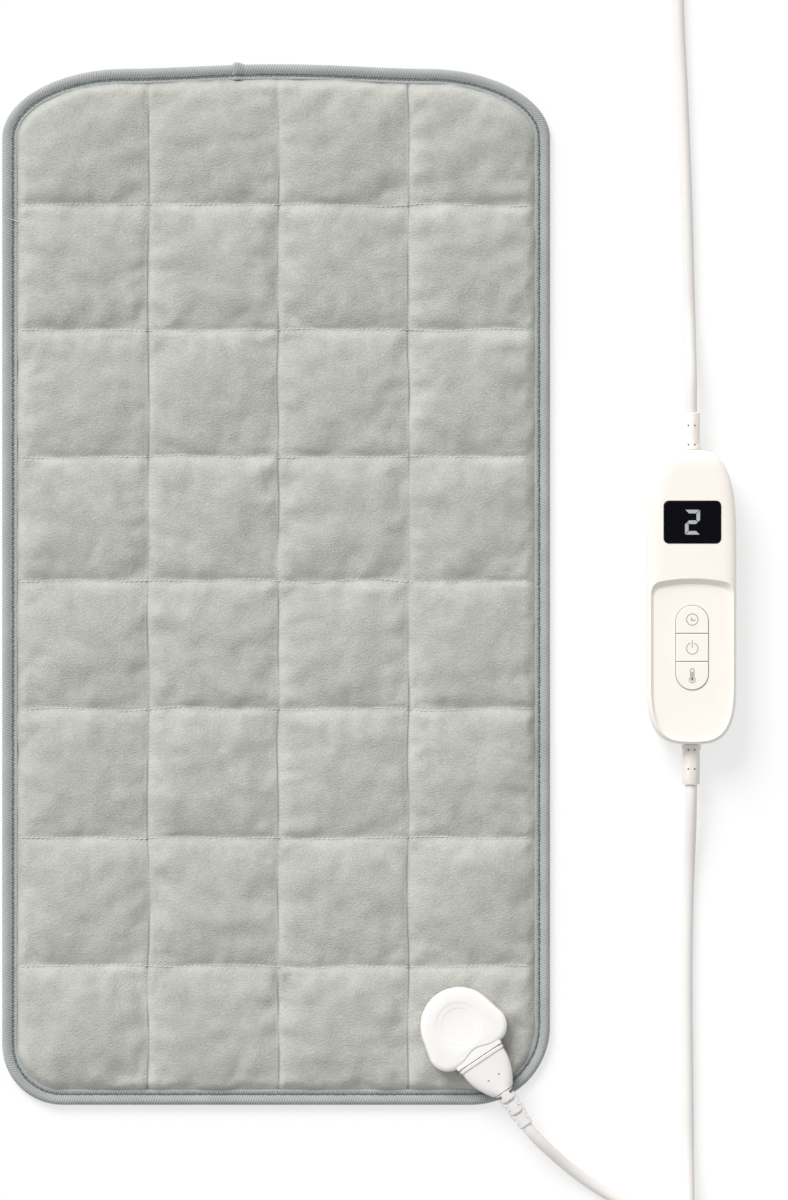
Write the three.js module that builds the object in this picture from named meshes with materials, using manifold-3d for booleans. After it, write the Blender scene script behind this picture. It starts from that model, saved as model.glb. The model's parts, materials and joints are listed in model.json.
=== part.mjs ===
// A quilted heating pad with a detachable hand controller, as an assembly of separate solids.
// Millimetres, +Z up. The origin is the middle of the pad's underside, on the surface it lies on.
// +Y runs along the pad, away from the end that holds the connector; the controller lies at +X.

import * as THREE from 'three';
import { mergeVertices } from 'three/addons/utils/BufferGeometryUtils.js';
import Module from 'manifold-3d';

const wasm = await Module();
wasm.setup();

// Fits
const GAP = 0.3; // between pieces that touch
const WIRE_GAP = 0.5; // round soft things laid in a recess
const REST_GAP = 0.1; // under what lies on the surface beside the pad
const OVERCUT = 1; // cutters reach this far past what they cut

// Pad
const PAD_WIDTH = 300;
const PAD_LENGTH = 570;
const PAD_TOP_BOW = 2.5; // the upper edge falls by this to its corners
const CORNER_TOP_ACROSS = 68;
const CORNER_TOP_ALONG = 38;
const CORNER_BOTTOM_LEFT = 33;
const CORNER_BOTTOM_RIGHT = 43;
const CORNER_EASE = 18; // the corner cells sink to the binding over this distance
const CELLS_ACROSS = 4;
const CELLS_ALONG = 8;
const QUILT_CROWN = 4.8;
const SOCKET_CELL_CROWN = 1.2; // the socket clamps its cell nearly flat
const PILLOW_POWER = 2.6;
const CELL_KNOTS = [0, 0.14, 0.5, 0.86]; // seam, shoulder, middle and shoulder of a cell
const FILL_KNOTS = [0, 0.5]; // the hidden layers follow seams and middles alone
const FRONT_COVER_THICK = 1.2;
const BACK_COVER_THICK = 1;
const WADDING_AT_SEAM = 0.4;
const CARRIER_THICK = 0.7;
const BINDING_WIDTH = 8.5;
const BINDING_TAPE = 1.1;
const BACK_RAMP = 3.5; // where the back cover climbs into the binding

// Heating wire
const HEATING_WIRE = 1.8;
const WIRE_ROWS = 14;
const WIRE_EDGE = 24; // from the pad's edge to the outer turns
const WIRE_TURN_CLEAR = 11; // between the turns and the return run

// Connector: its own frame has +X along the plug's way out of the socket
const CONNECTOR_FROM_SIDE = 38.6;
const CONNECTOR_FROM_END = 27.4;
const CONNECTOR_TURN = THREE.MathUtils.degToRad(-56);
const SOCKET_DISC = 21.4; // radius of the cover's round back
const SOCKET_DISC_BACK = 19.6;
const SOCKET_LOBE = 10.5; // radius of the two lobes beside the mating face
const SOCKET_LOBE_BACK = 11.7;
const SOCKET_LOBE_SPACING = 26.4;
const SOCKET_HEIGHT = 11;
const SOCKET_FOOT_EDGE = 1.2;
const SOCKET_SHOULDER = 1.2; // in from the side wall
const SOCKET_SHOULDER_DROP = 2; // below the chamfer
const SOCKET_CHAMFER = 1.7;
const SOCKET_CHAMFER_DROP = 0.4;
const COLLAR_WIDTH = 28.6; // the mouth that the plug's lip meets
const COLLAR_HEIGHT = 10;
const COLLAR_CORNER = 1.2;
const COLLAR_ROOT = 9;
const LIP_BACK = 2; // the cover's top steps down to the collar along a wave
const LIP_WAVE = 3.7;
const LIP_WAVE_WIDTH = 8.5;
const DISH_BACK = 20.6;
const DISH_RADIUS = 13;
const DISH_FLOOR_RADIUS = 10;
const DISH_DEPTH = 0.4;
const THROAT_DEPTH = 16;
const NOSE_LENGTH = 14;
const NOSE_WIDTH = 20.4;
const NOSE_HEIGHT = 5.4;
const NOSE_CORNER = 1.4;
const CONTACTS = 3;
const CONTACT_PITCH = 6;
const PIN_DIAMETER = 1.8;
const PIN_ROOT = 4; // pin length held in the back wall
const PIN_TIP_CLEAR = 2.5;
const BORE_PAST_PIN = 1.5;
const SLEEVE_WALL = 0.6;
const BASE_RADIUS = 19;
const BASE_BACK = 17; // from the mating face back to the middle of the base
const BASE_SCREW_BACK = 26;
const BASE_SCREW_SPACING = 24;
const DUCT_BACK = 26;
const DUCT_RADIUS = 4;
const DUCT_WALL = 1.3;
const DUCT_REACH = 1.6; // into the socket cover
const PLUG_WIDTH = 28;
const PLUG_HEIGHT = 10;
const PLUG_LENGTH = 22.5;
const PLUG_LIP = 2.4;
const PLUG_EDGE = 0.5;
const PLUG_STEP = 0.6; // from the lip down to the fan
const PLUG_FAN_CURVE = 2.1;
const PLUG_LIP_POWER = 6;
const PLUG_FAN_POWER = 5.5;
const PLUG_NECK_POWER = 2.2;
const PLUG_FAN_STEPS = 6;
const PLUG_NECK = 12.4;
const PLUG_NECK_HEIGHT = 10.4;
const PLUG_MATE_GAP = 0.4;
const MOULD_HOLE = 1.2;
const MOULD_HOLE_BACK = 13.2;
const MOULD_HOLE_SPACING = 6.7;
const MOULD_HOLE_FLOOR = 3.8; // above the plug's axis
const RELIEF_LENGTH = 22.4;
const RELIEF_ROOT = 10.2;
const RELIEF_TIP = 8.2;
const RELIEF_SLOTS = 5; // pairs, by turns at the sides and above and below
const RELIEF_SLOT = 1.7;
const RELIEF_SLOT_PITCH = 4.1;
const RELIEF_CORE = 5;
const RELIEF_FIRST_SLOT = 1.9;
const RELIEF_EDGE = 0.6;

// Controller: its own frame has its origin under the middle of the case
const CONTROLLER_X = 227;
const CONTROLLER_Y = -7;
const CASE_WIDTH = 48.5;
const CASE_LENGTH = 160.5;
const CASE_HEIGHT = 25;
const CASE_SPLIT = 11; // height of the joint between the two shells
const CASE_WALL = 2.2;
const CASE_UPPER_END = 58; // length of the tapering display end
const CASE_LOWER_END = 36.6;
const CASE_END_POWER = 3.1;
const CASE_TOP_ROLL = 13; // the crown falls off over this width
const CASE_TOP_DROP = 8;
const CASE_ROLL_POWER = 4;
const CASE_FOOT_ROLL = 3;
const TRAY_DEPTH = 3; // key panel below the crown
const TRAY_MARGIN = 3.1; // key panel to the case's outline
const TRAY_FROM_TOP = 72.8; // from the display end to the panel's upper edge
const TRAY_BOW = 3;
const TRAY_CORNER = 5;
const TRAY_WALL_RUN = 2.8;
const TRAY_BOW_SHARES = [0.4, 0, -0.4];
const LENS_WIDTH = 31;
const LENS_LENGTH = 23;
const LENS_CORNER = 2.7;
const LENS_THICK = 1.4;
const LENS_PROUD = 0.3;
const LENS_LEDGE = 2;
const LENS_FROM_TOP = 39.4;
const KEY_BANK_WIDTH = 17.7;
const KEY_BANK_LENGTH = 46;
const KEY_BANK_FROM_TRAY = 11.9;
const KEY_PROUD = 0.7;
const KEY_BEVEL = 0.4;
const KEY_FLANGE = 1.4;
const KEY_FLANGE_THICK = 1;
const KEY_STEM = 1.3;
const KEY_STEM_RADIUS = 2.4;
const SWITCH_SIDE = 6;
const SWITCH_HEIGHT = 3.2;
const PLUNGER_RADIUS = 1.6;
const PLUNGER_RISE = 1.5;
const PLUNGER_SEAT = 1.4; // plunger length inside the switch
const PLUNGER_STROKE = 0.8; // room under the plunger
const BOARD_THICK = 1.6;
const BOARD_SIDE_CLEAR = 2;
const POST_RADIUS = 1.8;
const POST_INSET = 3.4;
const BOSS_RADIUS = 4.2;
const BOSS_SPACING = 26;
const BOSS_FROM_TOP = 22;
const BOSS_FROM_BOTTOM = 18;
const SCREW_DIAMETER = 2.5;
const SCREW_HEAD = 5.2;
const SCREW_HEAD_HEIGHT = 1.8;
const SCREW_RECESS = 1.2; // head below the underside
const SCREW_GRIP = 6; // thread length in the upper shell
const MODULE_WIDTH = 22;
const MODULE_LENGTH = 15;
const FUSE_DIAMETER = 5.2;
const FUSE_LENGTH = 20;
const FUSE_CAP = 5;
const FUSE_CAP_RISE = 0.2;
const CAPACITOR_WIDTH = 6.5;
const CAPACITOR_LENGTH = 13;
const CAPACITOR_HEIGHT = 8;
const TRIAC_WIDTH = 10;
const TRIAC_LENGTH = 9;
const TRIAC_THICK = 4.4;
const TRIAC_TAB = 6;
const TRIAC_TAB_THICK = 1.3;
const CHIP_WIDTH = 4;
const CHIP_LENGTH = 10;
const CHIP_HEIGHT = 1.6;
const POWER_ROW_BACK = 19; // from the lens's middle to the row of power parts
const POWER_ROW_SPACING = 12.5;
const INNER_WIRE = 1.6;
const INNER_WIRE_SPACING = 3.2;
const INNER_WIRE_STRAIGHT = 3.2; // at both ends of a wire
const INNER_WIRE_FALL = 6.4;

// Sleeves where the leads leave the controller
const SLEEVE_DIAMETER = 9.4;
const SLEEVE_TOP_LENGTH = 20.7;
const SLEEVE_BOTTOM_LENGTH = 22;
const SLEEVE_NECK = 6.8;
const SLEEVE_FLANGE = 10.4;
const SLEEVE_FLANGE_THICK = 2;
const SLEEVE_FLANGE_CLEAR = 0.8; // the end wall behind the flange is curved
const SLEEVE_COLLAR = 2.6;
const SLEEVE_COLLAR_RISE = 0.5;
const SLEEVE_LIP = 0.7;
const SLEEVE_HOLE = 1;
const SLEEVE_HOLE_SPACING = 3.5;
const SLEEVE_HOLE_FLOOR = 1.9; // above the sleeve's axis
const SLEEVE_HOLE_STEPS = [3, 13.5]; // from the case to each row of holes

// Leads
const CORD = 6.4;
const CORD_REST = CORD / 2 + REST_GAP; // height of a lead's axis on the surface
const COIL_LIFT = 1.2; // room for the tie under a coil
const COIL_PITCH = 7.1;
const COIL_LAYER = 7;
const COIL_ROUNDING = 0.05; // in turns, where the spiral reverses
const COIL_CLIMB = 0.5; // in turns, from one layer to the other
const TIE_WIDTH = 5;
const TIE_THICK = 0.7;
const TIE_CORNER = 2.5;
const MAINS_COIL = { x: 172, y: 400, start: 0, turns: 6.25, way: 1, outer: 48, tie: 230 };
const PAD_COIL = { x: 263, y: -393, start: 90, turns: 1.75, way: -1, outer: 37, tie: 300 };

// Mains plug: its own frame has +X towards the pins, with the lead coming in at the origin
const MAINS_PLUG_X = 128;
const MAINS_PLUG_Y = 442;
const MAINS_PLUG_TURN = THREE.MathUtils.degToRad(200);
const MAINS_PLUG_RELIEF = 28;
const MAINS_PLUG_BODY = 34;
const MAINS_PLUG_WIDTH = 35.3;
const MAINS_PLUG_HEIGHT = 13.7;
const MAINS_PLUG_EDGE = 1;
const MAINS_PLUG_BACK_WIDTH = 16;
const MAINS_PLUG_BACK_HEIGHT = 11.6;
const MAINS_PLUG_SHOULDER = 10; // length over which the back widens
const MAINS_PLUG_SHOULDER_WIDTH = 32.5;
const MAINS_PLUG_WAIST = 14; // from the pins' face to the full width
const MAINS_PLUG_POWER = 3.2;
const MAINS_PLUG_BACK_POWER = 2.6;
const MAINS_RELIEF_WALL = 0.6;
const MAINS_RELIEF_ROOT = 10;
const MAINS_RELIEF_FLARE = 5.6;
const MAINS_PIN = 4;
const MAINS_PIN_LENGTH = 19;
const MAINS_PIN_SPACING = 18.6;
const MAINS_PIN_ROOT = 5;

// Facets
const CORNER_STEPS = 6;
const RECTANGLE_STEPS = 3;
const BOW_STEPS = 4;
const END_STEPS = 16;
const ROLL_STEPS = 6;
const FOOT_STEPS = 3;
const ROUND = 24;
const SMALL_ROUND = 12;
const SOCKET_ARC_STEPS = 11;
const SLEEVE_SIDES = 16;
const HOLE_SIDES = 6;
const CORD_SIDES = 8;
const COIL_SIDES = 6;
const COIL_STEPS = 24;
const LEAD_STEP = 16.6; // between the rings of a free lead
const TURN_STEPS = 4;

// Materials
function finish(color, roughness, metalness = 0) {
  return new THREE.MeshStandardMaterial({ color, roughness, metalness });
}
const plush = finish(0xbabeb8, 0.95);
const tape = finish(0xa3a9a8, 0.9);
const felt = finish(0xe6e2da, 0.95);
const heater = finish(0xd8c8a4, 0.5);
const white = finish(0xf2f1ef, 0.45);
const cream = finish(0xfaf5ec, 0.5);
const cordGrey = finish(0xeeeae7, 0.5);
const black = finish(0x0b0b0c, 0.15);
const boardGreen = finish(0x2d6a43, 0.5);
const darkPlastic = finish(0x232325, 0.6);
const steel = finish(0xb9bbbd, 0.35, 1);
const brass = finish(0xc9a75a, 0.35, 1);
const glass = finish(0xdfe6e4, 0.1);
const red = finish(0xb0503f, 0.5);

// Geometry helpers
// Merges shared corners, drops collapsed triangles and turns the faces outwards.
function tidy(geometry) {
  geometry.deleteAttribute('normal');
  geometry.deleteAttribute('uv');
  const merged = mergeVertices(geometry, 1e-4);
  const corner = merged.index.array;
  const place = merged.attributes.position.array;
  const kept = [];
  let volume = 0;
  for (let t = 0; t < corner.length; t += 3) {
    const [a, b, c] = [corner[t], corner[t + 1], corner[t + 2]];
    if (a === b || b === c || c === a) continue;
    kept.push(a, b, c);
    const p = new THREE.Vector3().fromArray(place, a * 3);
    const q = new THREE.Vector3().fromArray(place, b * 3);
    const r = new THREE.Vector3().fromArray(place, c * 3);
    volume += p.dot(q.cross(r));
  }
  merged.setIndex(volume < 0 ? kept.reverse() : kept);
  return merged;
}

function meshOf(positions, index) {
  const geometry = new THREE.BufferGeometry();
  geometry.setAttribute('position', new THREE.Float32BufferAttribute(positions, 3));
  geometry.setIndex(index);
  return tidy(geometry);
}

function toSolid(geometry) {
  const vertProperties = new Float32Array(geometry.attributes.position.array);
  const triVerts = new Uint32Array(geometry.index.array);
  return new wasm.Manifold(new wasm.Mesh({ numProp: 3, vertProperties, triVerts }));
}

function fromSolid(solid) {
  const mesh = solid.getMesh();
  return meshOf(Array.from(mesh.vertProperties), Array.from(mesh.triVerts));
}

function join(first, ...others) {
  return fromSolid(others.reduce((sum, other) => sum.add(toSolid(other)), toSolid(first)));
}

function cut(first, ...tools) {
  return fromSolid(tools.reduce((rest, tool) => rest.subtract(toSolid(tool)), toSolid(first)));
}

function common(first, second) {
  return fromSolid(toSolid(first).intersect(toSolid(second)));
}

function moved(geometry, x, y, z) {
  return geometry.clone().translate(x, y, z);
}

// Triangulates a flat ring in the plane that it spans, keeping the ring's own sense.
function capTriangles(ring) {
  const size = new THREE.Box3().setFromPoints(ring).getSize(new THREE.Vector3());
  const axes = ['x', 'y', 'z'].sort((a, b) => size[b] - size[a]).slice(0, 2).sort();
  const flat = ring.map((point) => new THREE.Vector2(point[axes[0]], point[axes[1]]));
  const triangles = THREE.ShapeUtils.triangulateShape(flat, []);
  return THREE.ShapeUtils.isClockWise(flat) ? triangles.map((t) => t.reverse()) : triangles;
}

function skin(index, fromRing, toRing, count) {
  for (let i = 0; i < count; i += 1) {
    const next = (i + 1) % count;
    const [a, b] = [fromRing * count + i, fromRing * count + next];
    const [c, d] = [toRing * count + i, toRing * count + next];
    index.push(a, b, d, a, d, c);
  }
}

// Skins a stack of rings with equally many points and closes both ends.
function loft(rings) {
  const count = rings[0].length;
  const last = rings.length - 1;
  const index = [];
  for (let r = 0; r < last; r += 1) skin(index, r, r + 1, count);
  const top = last * count;
  capTriangles(rings[0]).forEach(([a, b, c]) => index.push(a, c, b));
  capTriangles(rings[last]).forEach(([a, b, c]) => index.push(top + a, top + b, top + c));
  return meshOf(rings.flat().flatMap((p) => [p.x, p.y, p.z]), index);
}

// Skins a closed series of rings, such as a hem that runs round an outline.
function sweepRound(rings) {
  const index = [];
  rings.forEach((_, r) => skin(index, r, (r + 1) % rings.length, rings[0].length));
  return meshOf(rings.flat().flatMap((p) => [p.x, p.y, p.z]), index);
}

function atHeight(outline, z) {
  return outline.map((point) => new THREE.Vector3(point.x, point.y, z));
}

function prism(outline, low, high, hole = null) {
  const shape = new THREE.Shape(outline);
  if (hole) shape.holes.push(new THREE.Path(hole));
  const geometry = new THREE.ExtrudeGeometry(shape, { depth: high - low, bevelEnabled: false });
  return tidy(geometry.translate(0, 0, low));
}

function box(width, length, low, high, x = 0, y = 0) {
  const geometry = new THREE.BoxGeometry(width, length, high - low);
  return tidy(geometry.translate(x, y, (low + high) / 2));
}

function rod(radius, low, high, x, y, sides = SMALL_ROUND) {
  const geometry = new THREE.CylinderGeometry(radius, radius, high - low, sides);
  return tidy(geometry.rotateX(Math.PI / 2).translate(x, y, (low + high) / 2));
}

// Revolves [along, radius] pairs about the axis that `aim` turns +Y onto.
function revolve(profile, sides, aim) {
  const points = profile.map(([along, radius]) => new THREE.Vector2(radius, along));
  const geometry = new THREE.LatheGeometry(points, sides);
  const turn = new THREE.Quaternion().setFromUnitVectors(new THREE.Vector3(0, 1, 0), aim);
  return tidy(geometry.applyQuaternion(turn));
}
const ALONG_X = new THREE.Vector3(1, 0, 0);
const ALONG_Y = new THREE.Vector3(0, 1, 0);
const ALONG_Z = new THREE.Vector3(0, 0, 1);

function roundedRectangle(width, length, radius, x = 0, y = 0) {
  const points = [];
  for (let corner = 0; corner < 4; corner += 1) {
    const sideX = corner === 0 || corner === 3 ? 1 : -1;
    const sideY = corner < 2 ? 1 : -1;
    for (let step = 0; step <= RECTANGLE_STEPS; step += 1) {
      const angle = ((corner + step / RECTANGLE_STEPS) * Math.PI) / 2;
      points.push(new THREE.Vector2(
        x + sideX * (width / 2 - radius) + radius * Math.cos(angle),
        y + sideY * (length / 2 - radius) + radius * Math.sin(angle),
      ));
    }
  }
  return points;
}

function signedPower(value, power) {
  return Math.sign(value) * Math.abs(value) ** power;
}

// A section across +X: a rounded square whose power runs from 2, an ellipse, upwards.
function section(along, width, height, power, z, sides = ROUND) {
  return Array.from({ length: sides }, (_, i) => {
    const angle = (i / sides) * Math.PI * 2;
    const across = (width / 2) * signedPower(Math.cos(angle), 2 / power);
    const up = (height / 2) * signedPower(Math.sin(angle), 2 / power);
    return new THREE.Vector3(along, across, z + up);
  });
}

// One unbroken tube with a ring at each point of a path that never stands upright.
function tubeThrough(points, diameter, sides) {
  const rings = points.map((point, i) => {
    const before = points[Math.max(i - 1, 0)];
    const after = points[Math.min(i + 1, points.length - 1)];
    const ahead = after.clone().sub(before).normalize();
    const side = ahead.clone().cross(ALONG_Z).normalize();
    const up = side.clone().cross(ahead);
    return Array.from({ length: sides }, (_, k) => {
      const angle = ((k + 0.5) / sides) * Math.PI * 2;
      return point.clone()
        .addScaledVector(side, (diameter / 2) * Math.cos(angle))
        .addScaledVector(up, (diameter / 2) * Math.sin(angle));
    });
  });
  return loft(rings);
}

// A lead's free stretch: a round section drawn along a smooth curve.
function lead(route) {
  const points = route.map((p) => new THREE.Vector3(...p));
  const path = new THREE.CatmullRomCurve3(points, false, 'centripetal');
  const shape = new THREE.Shape().absarc(0, 0, CORD / 2, 0, Math.PI * 2);
  const steps = Math.ceil(path.getLength() / LEAD_STEP);
  const options = { steps, extrudePath: path, curveSegments: CORD_SIDES / 2, bevelEnabled: false };
  return tidy(new THREE.ExtrudeGeometry(shape, options));
}

const part = new THREE.Group();

function add(group, name, geometry, material) {
  geometry.computeVertexNormals();
  const mesh = new THREE.Mesh(geometry, material);
  mesh.name = name;
  group.add(mesh);
}

// Heights of the pad's layers, from the surface up
const carrierLow = BACK_COVER_THICK + GAP;
const carrierHigh = carrierLow + CARRIER_THICK;
const wireAxis = carrierHigh + GAP + HEATING_WIRE / 2;
const waddingLow = wireAxis + HEATING_WIRE / 2 + GAP;
const waddingSeam = waddingLow + WADDING_AT_SEAM;
const coverSeamInside = waddingSeam + GAP;
const coverSeam = coverSeamInside + FRONT_COVER_THICK;
const backRimLow = BINDING_TAPE + GAP;
const backRimHigh = backRimLow + BACK_COVER_THICK;
const frontRimLow = backRimHigh + GAP;
const frontRimHigh = frontRimLow + FRONT_COVER_THICK;
const bindingChannelHigh = frontRimHigh + GAP;
const bindingHigh = bindingChannelHigh + BINDING_TAPE;

// Distances in from the pad's outline
const rimInset = BINDING_TAPE + GAP;
const quiltInset = BINDING_WIDTH + GAP;
const quiltInside = quiltInset + FRONT_COVER_THICK;
const fillInset = quiltInside + GAP;
const backFlatInset = fillInset + BACK_RAMP;
const carrierInset = backFlatInset + GAP;

// The pad's outline drawn in by `inset`, anticlockwise from its right-hand side.
function padOutline(inset) {
  const halfWidth = PAD_WIDTH / 2 - inset;
  const halfLength = PAD_LENGTH / 2 - inset;
  const points = [];
  [[1, 1], [-1, 1], [-1, -1], [1, -1]].forEach(([sideX, sideY], quarter) => {
    const corner = padCorner(sideX, sideY);
    const across = corner.across - inset;
    const along = corner.along - inset;
    const level = halfLength - corner.fall;
    for (let step = 0; step <= CORNER_STEPS; step += 1) {
      const angle = ((quarter + step / CORNER_STEPS) * Math.PI) / 2;
      points.push(new THREE.Vector2(
        sideX * (halfWidth - across) + across * Math.cos(angle),
        sideY * (level - along) + along * Math.sin(angle),
      ));
    }
    if (quarter === 0) points.push(...topEdge(halfWidth - across, level));
  });
  return points;
}

// A corner's two radii, and how far it lies below the end of the pad.
function padCorner(x, y) {
  if (y > 0) return { across: CORNER_TOP_ACROSS, along: CORNER_TOP_ALONG, fall: PAD_TOP_BOW };
  const radius = x > 0 ? CORNER_BOTTOM_RIGHT : CORNER_BOTTOM_LEFT;
  return { across: radius, along: radius, fall: 0 };
}

// The points between the two upper corners, where the edge bows outwards.
function topEdge(halfRun, y) {
  return Array.from({ length: BOW_STEPS - 1 }, (_, i) => {
    const share = 1 - (2 * (i + 1)) / BOW_STEPS;
    return new THREE.Vector2(share * halfRun, y + PAD_TOP_BOW * (1 - share * share) ** 2);
  });
}

function pillow(share) {
  return 1 - Math.abs(2 * share - 1) ** PILLOW_POWER;
}

function cornerEase(x, y) {
  const corner = padCorner(x, y);
  const across = corner.across - quiltInset;
  const along = corner.along - quiltInset;
  const pastX = Math.abs(x) - (PAD_WIDTH / 2 - quiltInset - across);
  const pastY = Math.abs(y) - (PAD_LENGTH / 2 - corner.fall - quiltInset - along);
  if (pastX <= 0 || pastY <= 0) return 1;
  const outwards = Math.hypot(pastX, pastY);
  const inside = outwards / Math.hypot(pastX / across, pastY / along) - outwards;
  return THREE.MathUtils.clamp(inside / CORNER_EASE, 0, 1);
}

// How far the quilting stands above its seams.
function quiltRise(x, y) {
  const across = ((x / (PAD_WIDTH / 2 - quiltInset) + 1) / 2) * CELLS_ACROSS;
  const along = ((y / (PAD_LENGTH / 2 - quiltInset) + 1) / 2) * CELLS_ALONG;
  if (across <= 0 || across >= CELLS_ACROSS || along <= 0 || along >= CELLS_ALONG) return 0;
  const column = Math.floor(across);
  const row = Math.floor(along);
  const holdsSocket = column === CELLS_ACROSS - 1 && row === 0;
  const crown = holdsSocket ? SOCKET_CELL_CROWN : QUILT_CROWN;
  return crown * pillow(across - column) * pillow(along - row) * cornerEase(x, y);
}

function quiltKnots(half, cells, shares) {
  const cell = (2 * half) / cells;
  const knots = [-half - OVERCUT];
  for (let i = 0; i < cells; i += 1) shares.forEach((share) => knots.push(-half + (i + share) * cell));
  return [...knots, half, half + OVERCUT];
}

// A block on the quilting's grid, with a crowned top over a flat underside.
function quiltBlock(low, seam, shares) {
  const xs = quiltKnots(PAD_WIDTH / 2 - quiltInset, CELLS_ACROSS, shares);
  const ys = quiltKnots(PAD_LENGTH / 2 - quiltInset, CELLS_ALONG, shares);
  const positions = [];
  const index = [];
  const at = (i, j) => j * xs.length + i;
  ys.forEach((y) => xs.forEach((x) => positions.push(x, y, seam + quiltRise(x, y))));
  for (let j = 0; j + 1 < ys.length; j += 1) {
    for (let i = 0; i + 1 < xs.length; i += 1) {
      index.push(at(i, j), at(i + 1, j), at(i + 1, j + 1), at(i, j), at(i + 1, j + 1), at(i, j + 1));
    }
  }
  const rim = [
    ...xs.slice(0, -1).map((_, i) => at(i, 0)),
    ...ys.slice(0, -1).map((_, j) => at(xs.length - 1, j)),
    ...xs.slice(0, -1).map((_, i) => at(xs.length - 1 - i, ys.length - 1)),
    ...ys.slice(0, -1).map((_, j) => at(0, ys.length - 1 - j)),
  ];
  const foot = positions.length / 3;
  rim.forEach((corner) => positions.push(positions[corner * 3], positions[corner * 3 + 1], low));
  rim.forEach((corner, i) => {
    const next = (i + 1) % rim.length;
    index.push(rim[next], corner, foot + i, rim[next], foot + i, foot + next);
  });
  const floor = rim.map((corner) => new THREE.Vector3().fromArray(positions, corner * 3).setZ(low));
  capTriangles(floor).forEach(([a, b, c]) => index.push(foot + a, foot + c, foot + b));
  return meshOf(positions, index);
}

// Connector frame, shared by the pad's socket and the plug in it
const connector = new THREE.Group();
connector.position.set(PAD_WIDTH / 2 - CONNECTOR_FROM_SIDE, CONNECTOR_FROM_END - PAD_LENGTH / 2, 0);
connector.rotation.z = CONNECTOR_TURN;
connector.updateMatrix();

function onPad(geometry) {
  return geometry.clone().applyMatrix4(connector.matrix);
}

const socketLow = coverSeam + SOCKET_CELL_CROWN + GAP;
const socketHigh = socketLow + SOCKET_HEIGHT;
const plugAxis = (socketLow + socketHigh) / 2;
const baseLow = carrierHigh + GAP;
const baseHigh = coverSeamInside - GAP;
const baseScrews = [-1, 1].map((side) => [-BASE_SCREW_BACK, (side * BASE_SCREW_SPACING) / 2]);
const contactPlaces = Array.from({ length: CONTACTS }, (_, i) => (i - (CONTACTS - 1) / 2) * CONTACT_PITCH);
const screwHole = SCREW_DIAMETER / 2 + GAP;

function padPieces() {
  const group = new THREE.Group();
  const tall = coverSeam + QUILT_CROWN + FRONT_COVER_THICK;
  const duct = onPad(rod(DUCT_RADIUS + GAP, 0, tall, -DUCT_BACK, 0, ROUND));
  const screws = baseScrews.map(([x, y]) => onPad(rod(screwHole, 0, tall, x, y)));

  const within = (block, inset) => common(block, prism(padOutline(inset), 0, tall));
  const outside = within(quiltBlock(frontRimLow, coverSeam, CELL_KNOTS), quiltInset);
  const inside = within(quiltBlock(0, coverSeamInside, FILL_KNOTS), quiltInside);
  const rim = prism(padOutline(rimInset), frontRimLow, frontRimHigh, padOutline(quiltInside));
  add(group, 'pad_front_cover', cut(join(cut(outside, inside), rim), duct, ...screws), plush);

  add(group, 'pad_back_cover', loft([
    atHeight(padOutline(backFlatInset - GAP), 0),
    atHeight(padOutline(quiltInset), backRimLow),
    atHeight(padOutline(rimInset), backRimLow),
    atHeight(padOutline(rimInset), backRimHigh),
    atHeight(padOutline(fillInset), backRimHigh),
    atHeight(padOutline(backFlatInset), BACK_COVER_THICK),
  ]), plush);

  add(group, 'pad_binding', sweepRound([
    atHeight(padOutline(BINDING_WIDTH), 0),
    atHeight(padOutline(BINDING_TAPE / 2), 0),
    atHeight(padOutline(0), BINDING_TAPE),
    atHeight(padOutline(0), bindingChannelHigh),
    atHeight(padOutline(BINDING_TAPE / 2), bindingHigh),
    atHeight(padOutline(BINDING_WIDTH), bindingHigh),
    atHeight(padOutline(BINDING_WIDTH), bindingChannelHigh),
    atHeight(padOutline(BINDING_TAPE), bindingChannelHigh),
    atHeight(padOutline(BINDING_TAPE), BINDING_TAPE),
    atHeight(padOutline(BINDING_WIDTH), BINDING_TAPE),
  ]), tape);

  const fill = within(quiltBlock(waddingLow, waddingSeam, FILL_KNOTS), fillInset);
  const basePocket = onPad(rod(BASE_RADIUS + WIRE_GAP, 0, tall, -BASE_BACK, 0, ROUND));
  add(group, 'front_wadding', cut(fill, basePocket), felt);
  add(group, 'element_carrier', prism(padOutline(carrierInset), carrierLow, carrierHigh), felt);
  add(group, 'heating_wire', tubeThrough(heatingRoute(), HEATING_WIRE, COIL_SIDES), heater);
  return group;
}

// The wire leaves the socket's base, runs up the pad, and comes back to the base in rows.
function heatingRoute() {
  const middle = new THREE.Vector3(-BASE_BACK, 0, 0).applyMatrix4(connector.matrix);
  const top = PAD_LENGTH / 2 - WIRE_EDGE;
  const pitch = (top - middle.y) / (WIRE_ROWS - 1);
  const radius = pitch / 2;
  const left = WIRE_EDGE + radius - PAD_WIDTH / 2;
  const right = middle.x - radius - WIRE_TURN_CLEAR;
  const points = [new THREE.Vector3(middle.x, middle.y + BASE_RADIUS + GAP, wireAxis)];
  const turn = (x, y, from, to, size) => {
    for (let step = 0; step <= TURN_STEPS; step += 1) {
      const angle = from + ((to - from) * step) / TURN_STEPS;
      points.push(new THREE.Vector3(x + size * Math.cos(angle), y + size * Math.sin(angle), wireAxis));
    }
  };
  turn(middle.x - radius, top - radius, 0, Math.PI / 2, radius);
  for (let row = 0; row + 1 < WIRE_ROWS; row += 1) {
    const y = top - (row + 0.5) * pitch;
    if (row % 2 === 0) turn(left, y, Math.PI / 2, Math.PI * 1.5, radius);
    else turn(right, y, Math.PI / 2, -Math.PI / 2, radius);
  }
  points.push(new THREE.Vector3(middle.x - BASE_RADIUS - GAP, middle.y, wireAxis));
  return points;
}

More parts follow.
